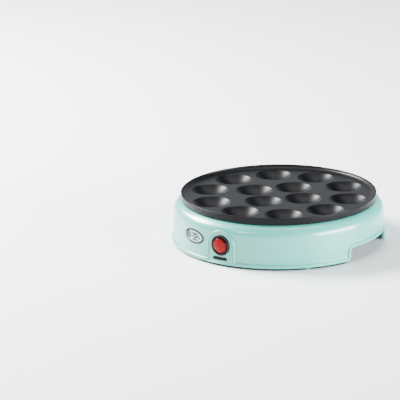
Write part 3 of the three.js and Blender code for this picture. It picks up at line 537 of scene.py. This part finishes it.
# "switchUp" and "archUp" are distances up the wall, and "bury" is how deep the pad's back goes.
pad = dict(switchUp=22.4, archUp=21.4, footUp=0.15, hole=11.6, arch=18.7, foot=19.3, flare=1.4,
           flareFrom=0.86, face=0.9, rib=2.0, ribHalf=1.4, bury=0.7, backInset=1.5, ringEnd=15.3,
           ringStep=0.8, middleRows=15, middleInset=3.0, footRays=(-130, -50, 0.6),
           otherRays=(-50, 230, 2.5),
           edgeRows=(2.75, 2.5, 2.25, 2.0, 1.7, 1.4, 1.1, 0.8, 0.55, 0.35, 0.2, 0.08, 0),
           slotAcross=-0.9, slotUp=6.7, slotHalf=9.3, slotHigh=1.75, slotDeep=1.5, slotSoft=0.5)


# The pad's outline round the switch's centre: a half circle over straight sides that spread and
# flare at their foot.
def padOutline():
    up, foot = pad["archUp"], pad["footUp"]
    side = np.linspace(0, 1, 400)
    halfWidth = pad["arch"] + (pad["foot"] - pad["arch"]) * side ** 2
    flaring = np.clip((side - pad["flareFrom"]) / (1 - pad["flareFrom"]), 0, 1)
    halfWidth = halfWidth + pad["flare"] * flaring ** 2
    down = up - side * (up - foot)
    b = np.linspace(0, math.pi, 200)[1:-1]
    arch = np.stack([pad["arch"] * np.cos(b), up + pad["arch"] * np.sin(b)], -1)
    base = np.linspace(-halfWidth[-1], halfWidth[-1], 300)
    base = np.stack([base, np.full(len(base), foot)], -1)[1:-1]
    left = np.stack([-halfWidth, down], -1)
    rightSide = np.stack([halfWidth, down], -1)[::-1]
    return np.concatenate([arch, left, base, rightSide]) - (0, pad["switchUp"])


# The arched pad round the switch, on rays from the switch's centre to the pad's outline, closer
# together towards the foot. A rib runs round its outline: a quarter ellipse up from the wall, then
# a smooth step down to the face. The face dips into the slot.
def addSwitchPad():
    up = pad["switchUp"]
    a = np.radians(np.r_[np.arange(*pad["footRays"]), np.arange(*pad["otherRays"])])
    outline = padOutline()
    angles = np.arctan2(outline[:, 1], outline[:, 0])
    order = np.argsort(angles)
    edge = np.interp((a + math.pi) % (2 * math.pi) - math.pi, angles[order],
                     np.hypot(*outline.T)[order], period=2 * math.pi)
    inner = np.arange(pad["hole"], pad["ringEnd"], pad["ringStep"])
    spare = np.clip(edge - pad["middleInset"] - pad["ringEnd"], 0, None)
    middle = pad["ringEnd"] + spare * np.linspace(0, 1, pad["middleRows"])[:, None]
    rows = [np.full_like(a, r) for r in inner[:-1]] + list(middle)
    rows += [edge - inset for inset in pad["edgeRows"]]
    grid = []
    for r in rows:
        u, v = r * np.cos(a), r * np.sin(a)
        inward = (edge - r) / pad["ribHalf"]
        rising = pad["rib"] * np.sqrt(np.clip(1 - (1 - inward) ** 2, 0, 1))
        falling = pad["rib"] + (pad["face"] - pad["rib"]) * smoothStep(inward - 1)
        lift = np.where(inward < 1, rising, falling)
        gap = stadiumGap(u - pad["slotAcross"], v + up - pad["slotUp"], pad["slotHalf"],
                         pad["slotHigh"])
        dip = pad["slotDeep"] * smoothStep(0.5 - gap / pad["slotSoft"])
        grid.append(onWall(u, v + up, lift - dip))
    for r in (rows[-1], rows[-1] - pad["backInset"], np.full_like(a, pad["hole"])):
        grid.append(onWall(r * np.cos(a), r * np.sin(a) + up, -pad["bury"]))
    quads = gridQuads(len(grid), len(a), closeRows=True, closeColumns=True)
    addMesh("switchPad", grid, quads, mainBody, "mint_plastic", mintPlastic, [], 50)


# A plate on the wall from rings between its middle line and its outline, with a rounded edge and
# a back. Its outline is an ellipse, or a bar with round ends if its straight part is given.
def wallPlate(u, h, halfWidth, halfHeight, straight, low, high, rounding):
    a = np.linspace(0, 2 * math.pi, 96, endpoint=False)
    spine = np.clip(np.cos(a) * 3, -1, 1) * straight  # crosses the straight part quickly
    rings = [(0.0, high), (0.5, high), (0.85, high), (0.93, high - rounding * 0.15),
             (0.98, high - rounding * 0.5), (1.0, high - rounding), (1.0, low), (0.5, low),
             (0.0, low)]  # share of the way out, and lift
    grid = []
    for share, lift in rings:
        x = spine + (halfWidth - straight) * share * np.cos(a)
        grid.append(onWall(u + x, h + halfHeight * share * np.sin(a), lift))
    return np.array(grid), gridQuads(len(rings), len(a), closeColumns=True)


# A low rounded strip that follows a (u, h) path on the wall: a half-round section carried along
# it. An open strip's ends taper off: the square root of one less the distance's sixth power.
def wallStrip(path, width, low, high, closed, sectionPoints=9):
    path = np.asarray(path, float)
    if closed:
        ahead = np.roll(path, -1, 0) - np.roll(path, 1, 0)
    else:
        ahead = np.gradient(path, axis=0)
    side = np.stack([-ahead[:, 1], ahead[:, 0]], -1) / np.linalg.norm(ahead, axis=1)[:, None]
    taper = np.ones(len(path))
    if not closed:
        s = np.linspace(-1, 1, len(path))
        taper = np.sqrt(np.clip(1 - np.abs(s) ** 6, 0.02, 1))
    grid = []
    for b in np.linspace(0, math.pi, sectionPoints):
        p = path + side * (width / 2 * math.cos(b) * taper)[:, None]
        grid.append(onWall(*p.T, low + (high - low) * math.sin(b) * taper))
    return np.array(grid), gridQuads(len(grid), len(path), closeRows=True, closeColumns=closed)


# A waves entry is the wave's height above the badge's middle, its length and its width.
badge = dict(angle=-19.9, up=24.9, halfWidth=17.0, halfHeight=8.2, low=-0.3, high=0.5, rounding=0.3,
             lineLow=0.4, lineHigh=0.75, ringInset=0.7, ringWidth=2.1, curlAcross=-9.2,
             curlWidth=2.3, waveFrom=-2.6, waveSwing=0.8,
             waves=((2.9, 12.0, 2.0), (-0.4, 14.5, 1.8), (-3.7, 10.0, 1.6)))


# A low curl: a spiral that opens evenly from its start radius to its end radius.
def curl(x, y, start, end, turns, phase, squash):
    t = np.linspace(0, 1, 60)
    radius = start + (end - start) * t
    angle = phase + turns * 2 * math.pi * t
    return np.stack([x + radius * np.cos(angle), y + squash * radius * np.sin(angle)], -1)


# An oval plate with an edge line, a curl and three waves that stand a little out of it.
def addBadge():
    u, up = math.radians(badge["angle"]) * housing["around"], badge["up"]
    wide, tall, inset = badge["halfWidth"], badge["halfHeight"], badge["ringInset"]
    oval = wallPlate(u, up, wide, tall, 0, badge["low"], badge["high"], badge["rounding"])
    addMesh("badgePlate", *oval, mainBody, "badge_metal", badgeSilver, ["badge"], 50)
    low, high = badge["lineLow"], badge["lineHigh"]
    a = np.linspace(0, 2 * math.pi, 120, endpoint=False)
    ring = np.stack([u + (wide - inset) * np.cos(a), up + (tall - inset) * np.sin(a)], -1)
    swirl = curl(u + badge["curlAcross"], up, start=0.7, end=4.6, turns=1.6, phase=0.4, squash=1.15)
    strips = [wallStrip(ring, badge["ringWidth"], low, high, True),
              wallStrip(swirl, badge["curlWidth"], low, high, False)]
    t = np.linspace(0, 1, 40)
    for rise, reach, width in badge["waves"]:
        height = up + rise + badge["waveSwing"] * np.sin(4 * math.pi * t)
        wave = np.stack([u + badge["waveFrom"] + reach * t, height], -1)
        strips.append(wallStrip(wave, width, low, high, False))
    addMesh("badgeLines", *gathered(strips), mainBody, "badge_metal", badgeInk, [], 50)


nub = dict(angles=(-132.5, -47.5, 47.5, 132.5), half=2.5, low=-1.2, high=1.8, back=-2.2, front=0.9,
           corner=0.7)


# Each nub is a rounded rectangle across the wall's edge, carried up the wall from a rounded foot.
def addNubs():
    x, back, front = nub["half"], nub["back"], nub["front"]
    outline = roundedLine([(0, back), (x, back), (x, front), (-x, front), (-x, back), (0, back)],
                          [nub["corner"]] * 4, 4)[:-1]
    middle = np.array((0, (back + front) / 2))
    low, high = nub["low"], nub["high"]
    levels = [(low, 0.0), (low, 0.55), (low + 0.1, 0.8), (low + 0.35, 0.95), (low + 0.7, 1.0),
              (high, 1.0), (high, 0.0)]  # distance up the wall, and share of the outline
    shapes = []
    for angle in nub["angles"]:
        u = math.radians(angle) * housing["around"]
        grid = []
        for h, share in levels:
            p = middle + (outline - middle) * share
            grid.append(onWall(u + p[:, 0], np.full(len(p), h), p[:, 1]))
        shapes.append((np.array(grid), gridQuads(len(grid), len(outline), closeColumns=True)))
    addMesh("edgeNubs", *gathered(shapes), mainBody, "mint_plastic", mintPlastic, [], 50)


# The slot's bar: a dark sheet of painted shade in the slot.
slotShadeBar = dict(margin=0.3, low=-1.2, rise=0.06, rounding=0.1)


# A dark bar with round ends that closes the slot under the switch; its dark is painted shade,
# standing in for the shade inside the slot.
def addSlotShadeBar():
    margin = slotShadeBar["margin"]
    bar = wallPlate(pad["slotAcross"], pad["slotUp"], pad["slotHalf"] + margin,
                    pad["slotHigh"] + margin, pad["slotHalf"] - pad["slotHigh"] + 2 * margin,
                    slotShadeBar["low"], pad["face"] + slotShadeBar["rise"], slotShadeBar["rounding"])
    addMesh("slotShade", *bar, mainBody, "black_plastic", shadeDark, [], 50)


addHousing()
addSwitchPad()
addSlotShadeBar()
addNubs()
addBadge()
print("housing, pad and badge made")


# Each dimple sits in a disc of the plate out to "ringEdge". The web is flat out to "web".
plate = dict(surface=54.4, under=50.9, mouth=22.0, depth=10.0, lipRound=1.6, underMouth=22.6,
             underDepth=9.5, underLip=0.8, ringEdge=23.5, inner=33.517, outer=83.652, web=104.9,
             rimFoot=105.05, rimInner=113.05, rimOuter=115.05, rimTop=59.0, rimLean=0.25,
             skirtOuter=114.25, skirtInner=111.65, skirtStep=0.5, skirtEnd=50.4,
             rounds=[0.7, 0.9, 0.9, 0.2, 0.2], segments=144, bowlSegments=72)
boss = dict(top=51.2, rounds=[0.6, 0.2],
            outer=dict(ring=100.05, low=39.1, size=5.5, angles=(47.53, 132.47)),
            inner=dict(ring=68.2, low=44.3, size=4.5, angles=(54, 126)))


# Four dimples inside and ten round the outside, the first of each towards the front.
def dimpleCentres():
    spots = [(plate["inner"], 90 * k) for k in range(4)]
    spots += [(plate["outer"], 36 * k) for k in range(10)]
    return [onRing(radius, angle) for radius, angle in spots]


# A bowl's profile from its middle out: a ball of the right depth, then an arc that touches the
# ball and the flat.
def bowlProfile(mouth, depth, level, lipRound, steps):
    ball = (mouth ** 2 + depth ** 2) / (2 * depth)
    middle = level - depth + ball
    lipReach = math.sqrt((ball + lipRound) ** 2 - (middle - level + lipRound) ** 2)
    top = math.asin(lipReach / (ball + lipRound))
    a = np.linspace(0, top, steps)
    b = np.linspace(top, 0, 8)[1:]
    bowl = np.stack([ball * np.sin(a), middle - ball * np.cos(a)], -1)
    lip = np.stack([lipReach - lipRound * np.sin(b), level - lipRound + lipRound * np.cos(b)], -1)
    return np.concatenate([bowl, lip, [(plate["ringEdge"], level)]])


# One face of the plate: bowls at every dimple, and the flat web between them cut into triangles.
def plateFace(level, profile):
    parts = []
    segments, ringEdge = plate["bowlSegments"], plate["ringEdge"]
    bowl, quads = turned(profile, segments)
    ring = np.linspace(0, 2 * math.pi, segments, endpoint=False)
    circle = np.linspace(0, 2 * math.pi, plate["segments"], endpoint=False)
    loops = [np.stack([plate["web"] * np.cos(circle), plate["web"] * np.sin(circle)], -1)]
    for x, y in dimpleCentres():
        parts.append((bowl + np.array((x, y, 0)) * mm, quads))
        loops.append(np.stack([x + ringEdge * np.cos(ring), y + ringEdge * np.sin(ring)], -1))
    edges, start = [], 0
    for loop in loops:
        n = len(loop)
        edges += [(start + i, start + (i + 1) % n) for i in range(n)]
        start += n
    flat = [Vector(p) for p in np.concatenate(loops)]
    points, _, faces, *_ = delaunay_2d_cdt(flat, edges, [], 1, 1e-5)
    points = np.array([(p.x, p.y) for p in points])
    triangles = np.array([f for f in faces if len(f) == 3])
    middle = points[triangles].mean(1)
    inside = np.hypot(*middle.T) < plate["web"]
    for x, y in dimpleCentres():
        inside &= np.hypot(middle[:, 0] - x, middle[:, 1] - y) > ringEdge * 0.995  # disc's chords
    web = np.c_[points, np.full(len(points), level)] * mm
    parts.append((web, triangles[inside]))
    return parts


# The plate's two faces, joined by the rim's turned profile: a quarter ellipse up from the web,
# over the rim's lip and down the skirt.
def addPlate():
    p = plate
    a = np.linspace(0, math.pi / 2, 9)
    lip = p["rimTop"] - p["rimLean"]
    slope = np.stack([p["rimFoot"] + (p["rimInner"] - p["rimFoot"]) * np.sin(a),
                      p["surface"] + (lip - p["surface"]) * (1 - np.cos(a))], -1)
    corners = [slope[-2], (p["rimInner"], lip), (p["rimOuter"], p["rimTop"]),
               (p["skirtOuter"], p["skirtEnd"]), (p["skirtInner"], p["skirtEnd"]),
               (p["skirtInner"] - p["skirtStep"], p["under"]), (p["rimFoot"], p["under"])]
    edge = roundedLine(corners, p["rounds"], 5)
    edge = np.concatenate([[(p["web"], p["surface"])], slope[:-1], edge[1:],
                           [(p["web"], p["under"])]])
    upper = bowlProfile(p["mouth"], p["depth"], p["surface"], p["lipRound"], 15)
    lower = bowlProfile(p["underMouth"], p["underDepth"], p["under"], p["underLip"], 9)
    parts = [turned(edge, p["segments"])] + plateFace(p["surface"], upper)
    parts += [(points, faces[:, ::-1]) for points, faces in plateFace(p["under"], lower)]
    addMesh("cookingPlate", *gathered(parts), mainBody, "non_stick", nonStick, ["cooking_plate"],
            40)


# Turned posts under the plate, for the screws that hold it and the heating tube's clamp.
def addBosses():
    shapes = []
    for kind in (boss["outer"], boss["inner"]):
        size, low = kind["size"], kind["low"]
        outline = roundedLine([(0, low), (size, low), (size, boss["top"]), (0, boss["top"])],
                              boss["rounds"], 3)
        shape, quads = turned(outline, 24)
        for angle in (side * k for k in kind["angles"] for side in (1, -1)):
            shapes.append((shape + np.array((*onRing(kind["ring"], angle), 0)) * mm, quads))
    addMesh("plateBosses", *gathered(shapes), mainBody, "non_stick", nonStick, [], 40)


addPlate()
addBosses()
print("cooking plate made")


# "axis" and "seat" are distances out from the middle. The other distances along the switch are
# measured from its axis, and "seam" is only where the bezel's outline starts and ends.
switch = dict(height=24.6, axis=123.9597, seat=124.03, bezel=12.25, hole=9.7, face=2.3, bury=0.6,
              barrel=10.7, barrelEnd=-11, cupFloor=-9.5, seam=-7, tilt=9.0, ball=9.4, crown=4.6,
              rim=3.0, crease=1.0, skirt=3.0, hollow=7.6, hollowTop=0.5,
              rounds=[1.0, 1.1, 0.1, 0.1, 0.5, 0, 0.1, 0.3])
marks = dict(away=4.2, ring=1.75, ringHalf=0.28, barHalf=0.3, barReach=1.7, rise=0.2)
# Painted shade on the red lens: it darkens to the edge colour between these radii.
lens = dict(fadeFrom=6.8, fadeTo=9.0, edge=(0.03, 0.0006, 0.001, 1))


# Clear red moulding with painted shade: darker towards its rim, by the distance from the switch's
# middle line.
def redLens():
    material = finish(
        "red lens", color=(0.2, 0.0003, 0.0005), tint=(0.15, 0.0003, 0.0005), roughness=0.25,
        spread=0.03, tintScale=260, grainScale=900, bump=0.05, depth=0.03,
        sockets={"Specular IOR Level": 0.04, "Coat Weight": 0.1, "Coat Roughness": 0.06})
    nodes, links = material.node_tree.nodes, material.node_tree.links
    place = nodes.new("ShaderNodeTexCoord")
    flatten = nodes.new("ShaderNodeVectorMath")
    flatten.operation = "MULTIPLY_ADD"
    flatten.inputs[1].default_value = (1, 0, 1)
    flatten.inputs[2].default_value = (0, 0, -switch["height"] * mm)
    links.new(place.outputs["Object"], flatten.inputs[0])
    reach = nodes.new("ShaderNodeVectorMath")
    reach.operation = "LENGTH"
    links.new(flatten.outputs["Vector"], reach.inputs[0])
    fade = nodes.new("ShaderNodeMapRange")
    fade.interpolation_type = "SMOOTHSTEP"
    fade.inputs["From Min"].default_value = lens["fadeFrom"] * mm
    fade.inputs["From Max"].default_value = lens["fadeTo"] * mm
    links.new(reach.outputs["Value"], fade.inputs["Value"])
    rimShade = nodes.new("ShaderNodeMix")
    rimShade.data_type = "RGBA"
    rimShade.inputs[7].default_value = lens["edge"]
    links.new(fade.outputs["Result"], rimShade.inputs[0])
    shader = nodes["Principled BSDF"]
    links.new(shader.inputs["Base Color"].links[0].from_socket, rimShade.inputs[6])
    links.new(rimShade.outputs[2], shader.inputs["Base Color"])
    return material


# The rocker's moulded marks: a ring in its lower half and a bar in its upper half. Each is a
# rounded section on the dome, a ball whose radius is the crown's.
def rockerMarks(crown):
    def onDome(x, y, lift):
        z = switch["crown"] - crown + np.sqrt(crown ** 2 - x ** 2 - y ** 2) + lift
        return np.stack([x, y, z], -1) * mm
    a = np.linspace(0, 2 * math.pi, 40, endpoint=False)
    b = np.linspace(0, 2 * math.pi, 8, endpoint=False)[:, None]
    t = np.linspace(-1, 1, 9)
    away, rise = marks["away"], marks["rise"]
    r = marks["ring"] + marks["ringHalf"] * np.cos(b)
    ring = onDome(r * np.cos(a), -away + r * np.sin(a), rise * np.sin(b) + 0 * a)
    wide = marks["barHalf"] * np.sqrt(np.clip(1 - t ** 8, 0.02, 1))
    bar = onDome(wide * np.cos(b), away + marks["barReach"] * t + 0 * b, rise * np.sin(b) + 0 * t)
    return gathered([(ring, gridQuads(len(b), len(a), True, True)),
                     (bar, gridQuads(len(b), len(t), True))])


# The bezel and the rocker are turned outlines. The rocker's is a shallow dome, a rounded crease,
# a ball's side and a hollow back, and it leans with its lower half pressed in.
def addSwitch():
    s = switch
    under = s["seat"] - s["axis"] - s["bury"]
    corners = [(s["hole"], s["seam"]), (s["hole"], s["face"]), (s["bezel"], s["face"]),
               (s["bezel"], under), (s["barrel"], under), (s["barrel"], s["barrelEnd"]),
               (0, s["barrelEnd"]), (0, s["cupFloor"]), (s["hole"], s["cupFloor"]),
               (s["hole"], s["seam"])]
    outline = roundedLine(corners, s["rounds"], 6)
    place = facing(0, s["axis"], s["height"])
    addMesh("switchBezel", *placed(turned(outline, 72), place), mainBody, "black_plastic",
            blackPlastic, ["switch_housing"], 40)
    rimReach = math.sqrt(s["ball"] ** 2 - s["rim"] ** 2)
    crown = (rimReach ** 2 + (s["crown"] - s["rim"]) ** 2) / (2 * (s["crown"] - s["rim"]))
    a = np.linspace(0, math.asin(rimReach / crown), 10)
    dome = np.stack([crown * np.sin(a), s["crown"] - crown * (1 - np.cos(a))], -1)
    b = np.linspace(math.asin(s["rim"] / s["ball"]), -math.asin(s["skirt"] / s["ball"]), 9)
    sides = np.stack([s["ball"] * np.cos(b), s["ball"] * np.sin(b)], -1)
    crease = roundedLine([dome[-2], dome[-1], sides[1]], [s["crease"]], 5)
    dome = dome[:-1][dome[:-1, 0] < crease[1, 0] - 0.2]  # clear of where the crease starts
    outline = np.concatenate([dome, crease[1:-1], sides[1:],
                              [(s["hollow"], -s["skirt"]), (s["hollow"], s["hollowTop"]),
                               (0, s["hollowTop"])]])
    lean = place @ Matrix.Rotation(math.radians(s["tilt"]), 4, "X")
    red = redLens()
    addMesh("rockerLens", *placed(turned(outline, 64), lean), "rocker", "red_lens", red,
            ["switch_rocker"], 40)
    addMesh("rockerMarks", *placed(rockerMarks(crown), lean), "rocker", "red_lens", red, [], 40)


addSwitch()
print("switch made")


# Heights are above the table. The barb holds the foot in the cover's hole.
foot = dict(ring=105.25, angles=(47.5, -47.5, 132.5, -132.5), pad=7.5, padTop=3.3, stem=2.8,
            stemTop=5.9, barb=3.8, barbUp=6.3, tip=2.2, top=8.6,
            rounds=[0.8, 0.4, 0.1, 0.1, 0.3, 0.8])


def addFeet():
    f = foot
    corners = [(0, 0.0), (f["pad"], 0.0), (f["pad"], f["padTop"]), (f["stem"], f["padTop"]),
               (f["stem"], f["stemTop"]), (f["barb"], f["barbUp"]), (f["tip"], f["top"]),
               (0, f["top"])]
    outline = roundedLine(corners, f["rounds"], 4)
    for k, angle in enumerate(f["angles"]):
        spot = Matrix.Translation(Vector((*onRing(f["ring"], angle), 0)) * mm)
        addMesh(f"rubberFoot.{k + 1}", *placed(turned(outline, 40), spot), mainBody, "rubber",
                rubber, [f"foot_{k + 1}"], 40)


# The cross sunk in the head: its arms' half width, their reach as a share of the head, its depth
# as a share of the head's height, and how far its sides slope.
screw = dict(ring=110.25, angles=(30, -30, 150, -150), seat=3.3, head=3.4, headHigh=2.0, shank=1.6,
             length=13.0, armHalf=0.42, armReach=0.46, crossDeep=0.6, crossSoft=0.3)


# A pan-head screw: a head whose height falls as the root of one less the radius's fourth power,
# with a cross sunk in it, then the shank above.
def screwShape():
    head, high, shank, half = screw["head"], screw["headHigh"], screw["shank"], screw["armHalf"]
    a = np.linspace(0, 2 * math.pi, 48, endpoint=False)
    r = np.r_[np.linspace(0, 0.55, 10) * head, np.linspace(0.62, 1, 7) * head][:, None]
    x, y = r * np.cos(a), r * np.sin(a)
    drop = high * np.sqrt(np.clip(1 - (r / head) ** 4, 0, 1)) * np.ones_like(a)
    reach = head * screw["armReach"]
    cross = np.minimum(np.maximum(np.abs(x) - half, np.abs(y) - reach),
                       np.maximum(np.abs(y) - half, np.abs(x) - reach))
    drop = drop - screw["crossDeep"] * high * smoothStep(0.5 - cross / screw["crossSoft"])
    rows = np.stack([x, y, -drop], -1)
    tail = [(head, 0.0), (shank, 0.0), (shank, screw["length"] - shank), (0, screw["length"])]
    rest = [np.stack([q * np.cos(a), q * np.sin(a), np.full(len(a), z)], -1) for q, z in tail]
    grid = np.concatenate([rows, rest]) * mm
    return grid.reshape(-1, 3), gridQuads(len(grid), len(a), closeColumns=True)


def addScrews():
    for k, angle in enumerate(screw["angles"]):
        place = Vector((*onRing(screw["ring"], angle), screw["seat"])) * mm
        addMesh(f"coverScrew.{k + 1}", *placed(screwShape(), Matrix.Translation(place)), mainBody,
                "steel", zincSteel, [f"base_screw_{k + 1}"], 40)


# Distances along the gland are out from the middle. "disc" closes the bore behind the wall, a dark
# disc that stands in for the shade deep in the bore, and "seam" is only where the gland's outline
# starts and ends.
gland = dict(height=14, bore=3.6, neck=5.3, flange=7.0, nose=6.4, flangeIn=118.6, flangeOut=120.6,
             neckEnd=124.9, end=128.8, seam=124.0, disc=3.8, discFront=124.6, discBack=123.0,
             rounds=[0.3, 0.3, 0.1, 0.1, 0.4, 1.2, 0.8, 0], discRounds=[0.1, 0.1])


# The cord's outlet, a turned outline in the back wall.
def addGland():
    g = gland
    corners = [(g["bore"], g["flangeIn"]), (g["flange"], g["flangeIn"]),
               (g["flange"], g["flangeOut"]), (g["neck"], g["flangeOut"]),
               (g["neck"], g["neckEnd"]), (g["flange"], g["neckEnd"]), (g["nose"], g["end"]),
               (g["bore"], g["end"]), (g["bore"], g["seam"]), (g["bore"], g["flangeIn"])]
    outline = roundedLine(corners, g["rounds"], 5)
    # The disc, dark as the gland, is painted shade: the dark end of the bore.
    disc = roundedLine([(0, g["discFront"]), (g["disc"], g["discFront"]),
                        (g["disc"], g["discBack"]), (0, g["discBack"])], g["discRounds"], 2)
    shape = gathered([turned(outline, 48), turned(disc, 48)])
    addMesh("cordGland", *placed(shape, facing(180, 0, g["height"])), mainBody, "black_plastic",
            blackPlastic, ["cord_gland"], 40)


# A dark rim, partly the cover's own black and partly painted shadow for the gap under the housing's
# edge.
# "reach" is how far round the rim goes to each side of the front.
coverRimShade = dict(outer=124.6, inner=121.2, low=0.4, high=3.2, rounds=[0.3, 0.2, 0.2], reach=71.5,
                columns=120, endShare=0.7)


# The cover's rim below the housing's edge, partly painted shadow: its dark band also stands in for
# the shadow in the gap under the edge. A rounded bar's section carried round in front and behind,
# between the hand notches, and drawn together at its ends.
def addCoverRimShade():
    c = coverRimShade
    corners = [(c["inner"], c["low"]), (c["outer"], c["low"]), (c["outer"], c["high"]),
               (c["inner"], c["high"]), (c["inner"], c["low"])]
    section = roundedLine(corners, c["rounds"], 3)[:-1]
    middle = section.mean(0)
    share = c["endShare"]
    ends = np.r_[0, share, np.ones(c["columns"] - 4), share, 0][:, None]
    behind = 180 - housing["notchAngle"] * 2 + c["reach"]  # as far from the notches as in front
    shapes = []
    for centre, reach in ((0, c["reach"]), (180, behind)):
        a = np.radians(centre + np.linspace(-reach, reach, c["columns"]))[:, None]
        r = (middle[0] + (section[:, 0] - middle[0]) * ends) * mm
        z = (middle[1] + (section[:, 1] - middle[1]) * ends) * mm
        grid = np.stack([r * np.sin(a), -r * np.cos(a), z], -1)
        shapes.append((grid, gridQuads(len(a), len(section), closeColumns=True)))
    addMesh("coverRimShade", *gathered(shapes), mainBody, "black_plastic", blackPlastic, [], 50)


addCoverRimShade()
addFeet()
addScrews()
addGland()
print("feet, screws and gland made")


# Finishes of the solids that show as they are: by name, then by how a name starts, else zinc.
solidFinishes = {
    "base_cover": coverPlastic, "cord_clamp": coverPlastic, "heat_shield": shieldSteel,
    "element_clamp": shieldSteel, "thermostat": shieldSteel, "heating_element": tubeSteel,
    "fuse_sleeve": ceramicBody, "terminal_block": ceramicBody, "wire_line": sleeveBrown,
    "wire_load": sleeveBlack, "wire_neutral": sleeveBlue, "wire_earth": sleeveGreen,
}
kindFinishes = [("heat_washer", ceramicBody), ("terminal_", brassMetal), ("switch_", brassMetal)]


def finishOf(name):
    byKind = (material for start, material in kindFinishes if name.startswith(start))
    return solidFinishes.get(name) or next(byKind, zincSteel)


for name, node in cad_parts.items():
    if node.hide_render:
        continue
    node.data.materials.clear()
    node.data.materials.append(finishOf(name))
print("solids finished")
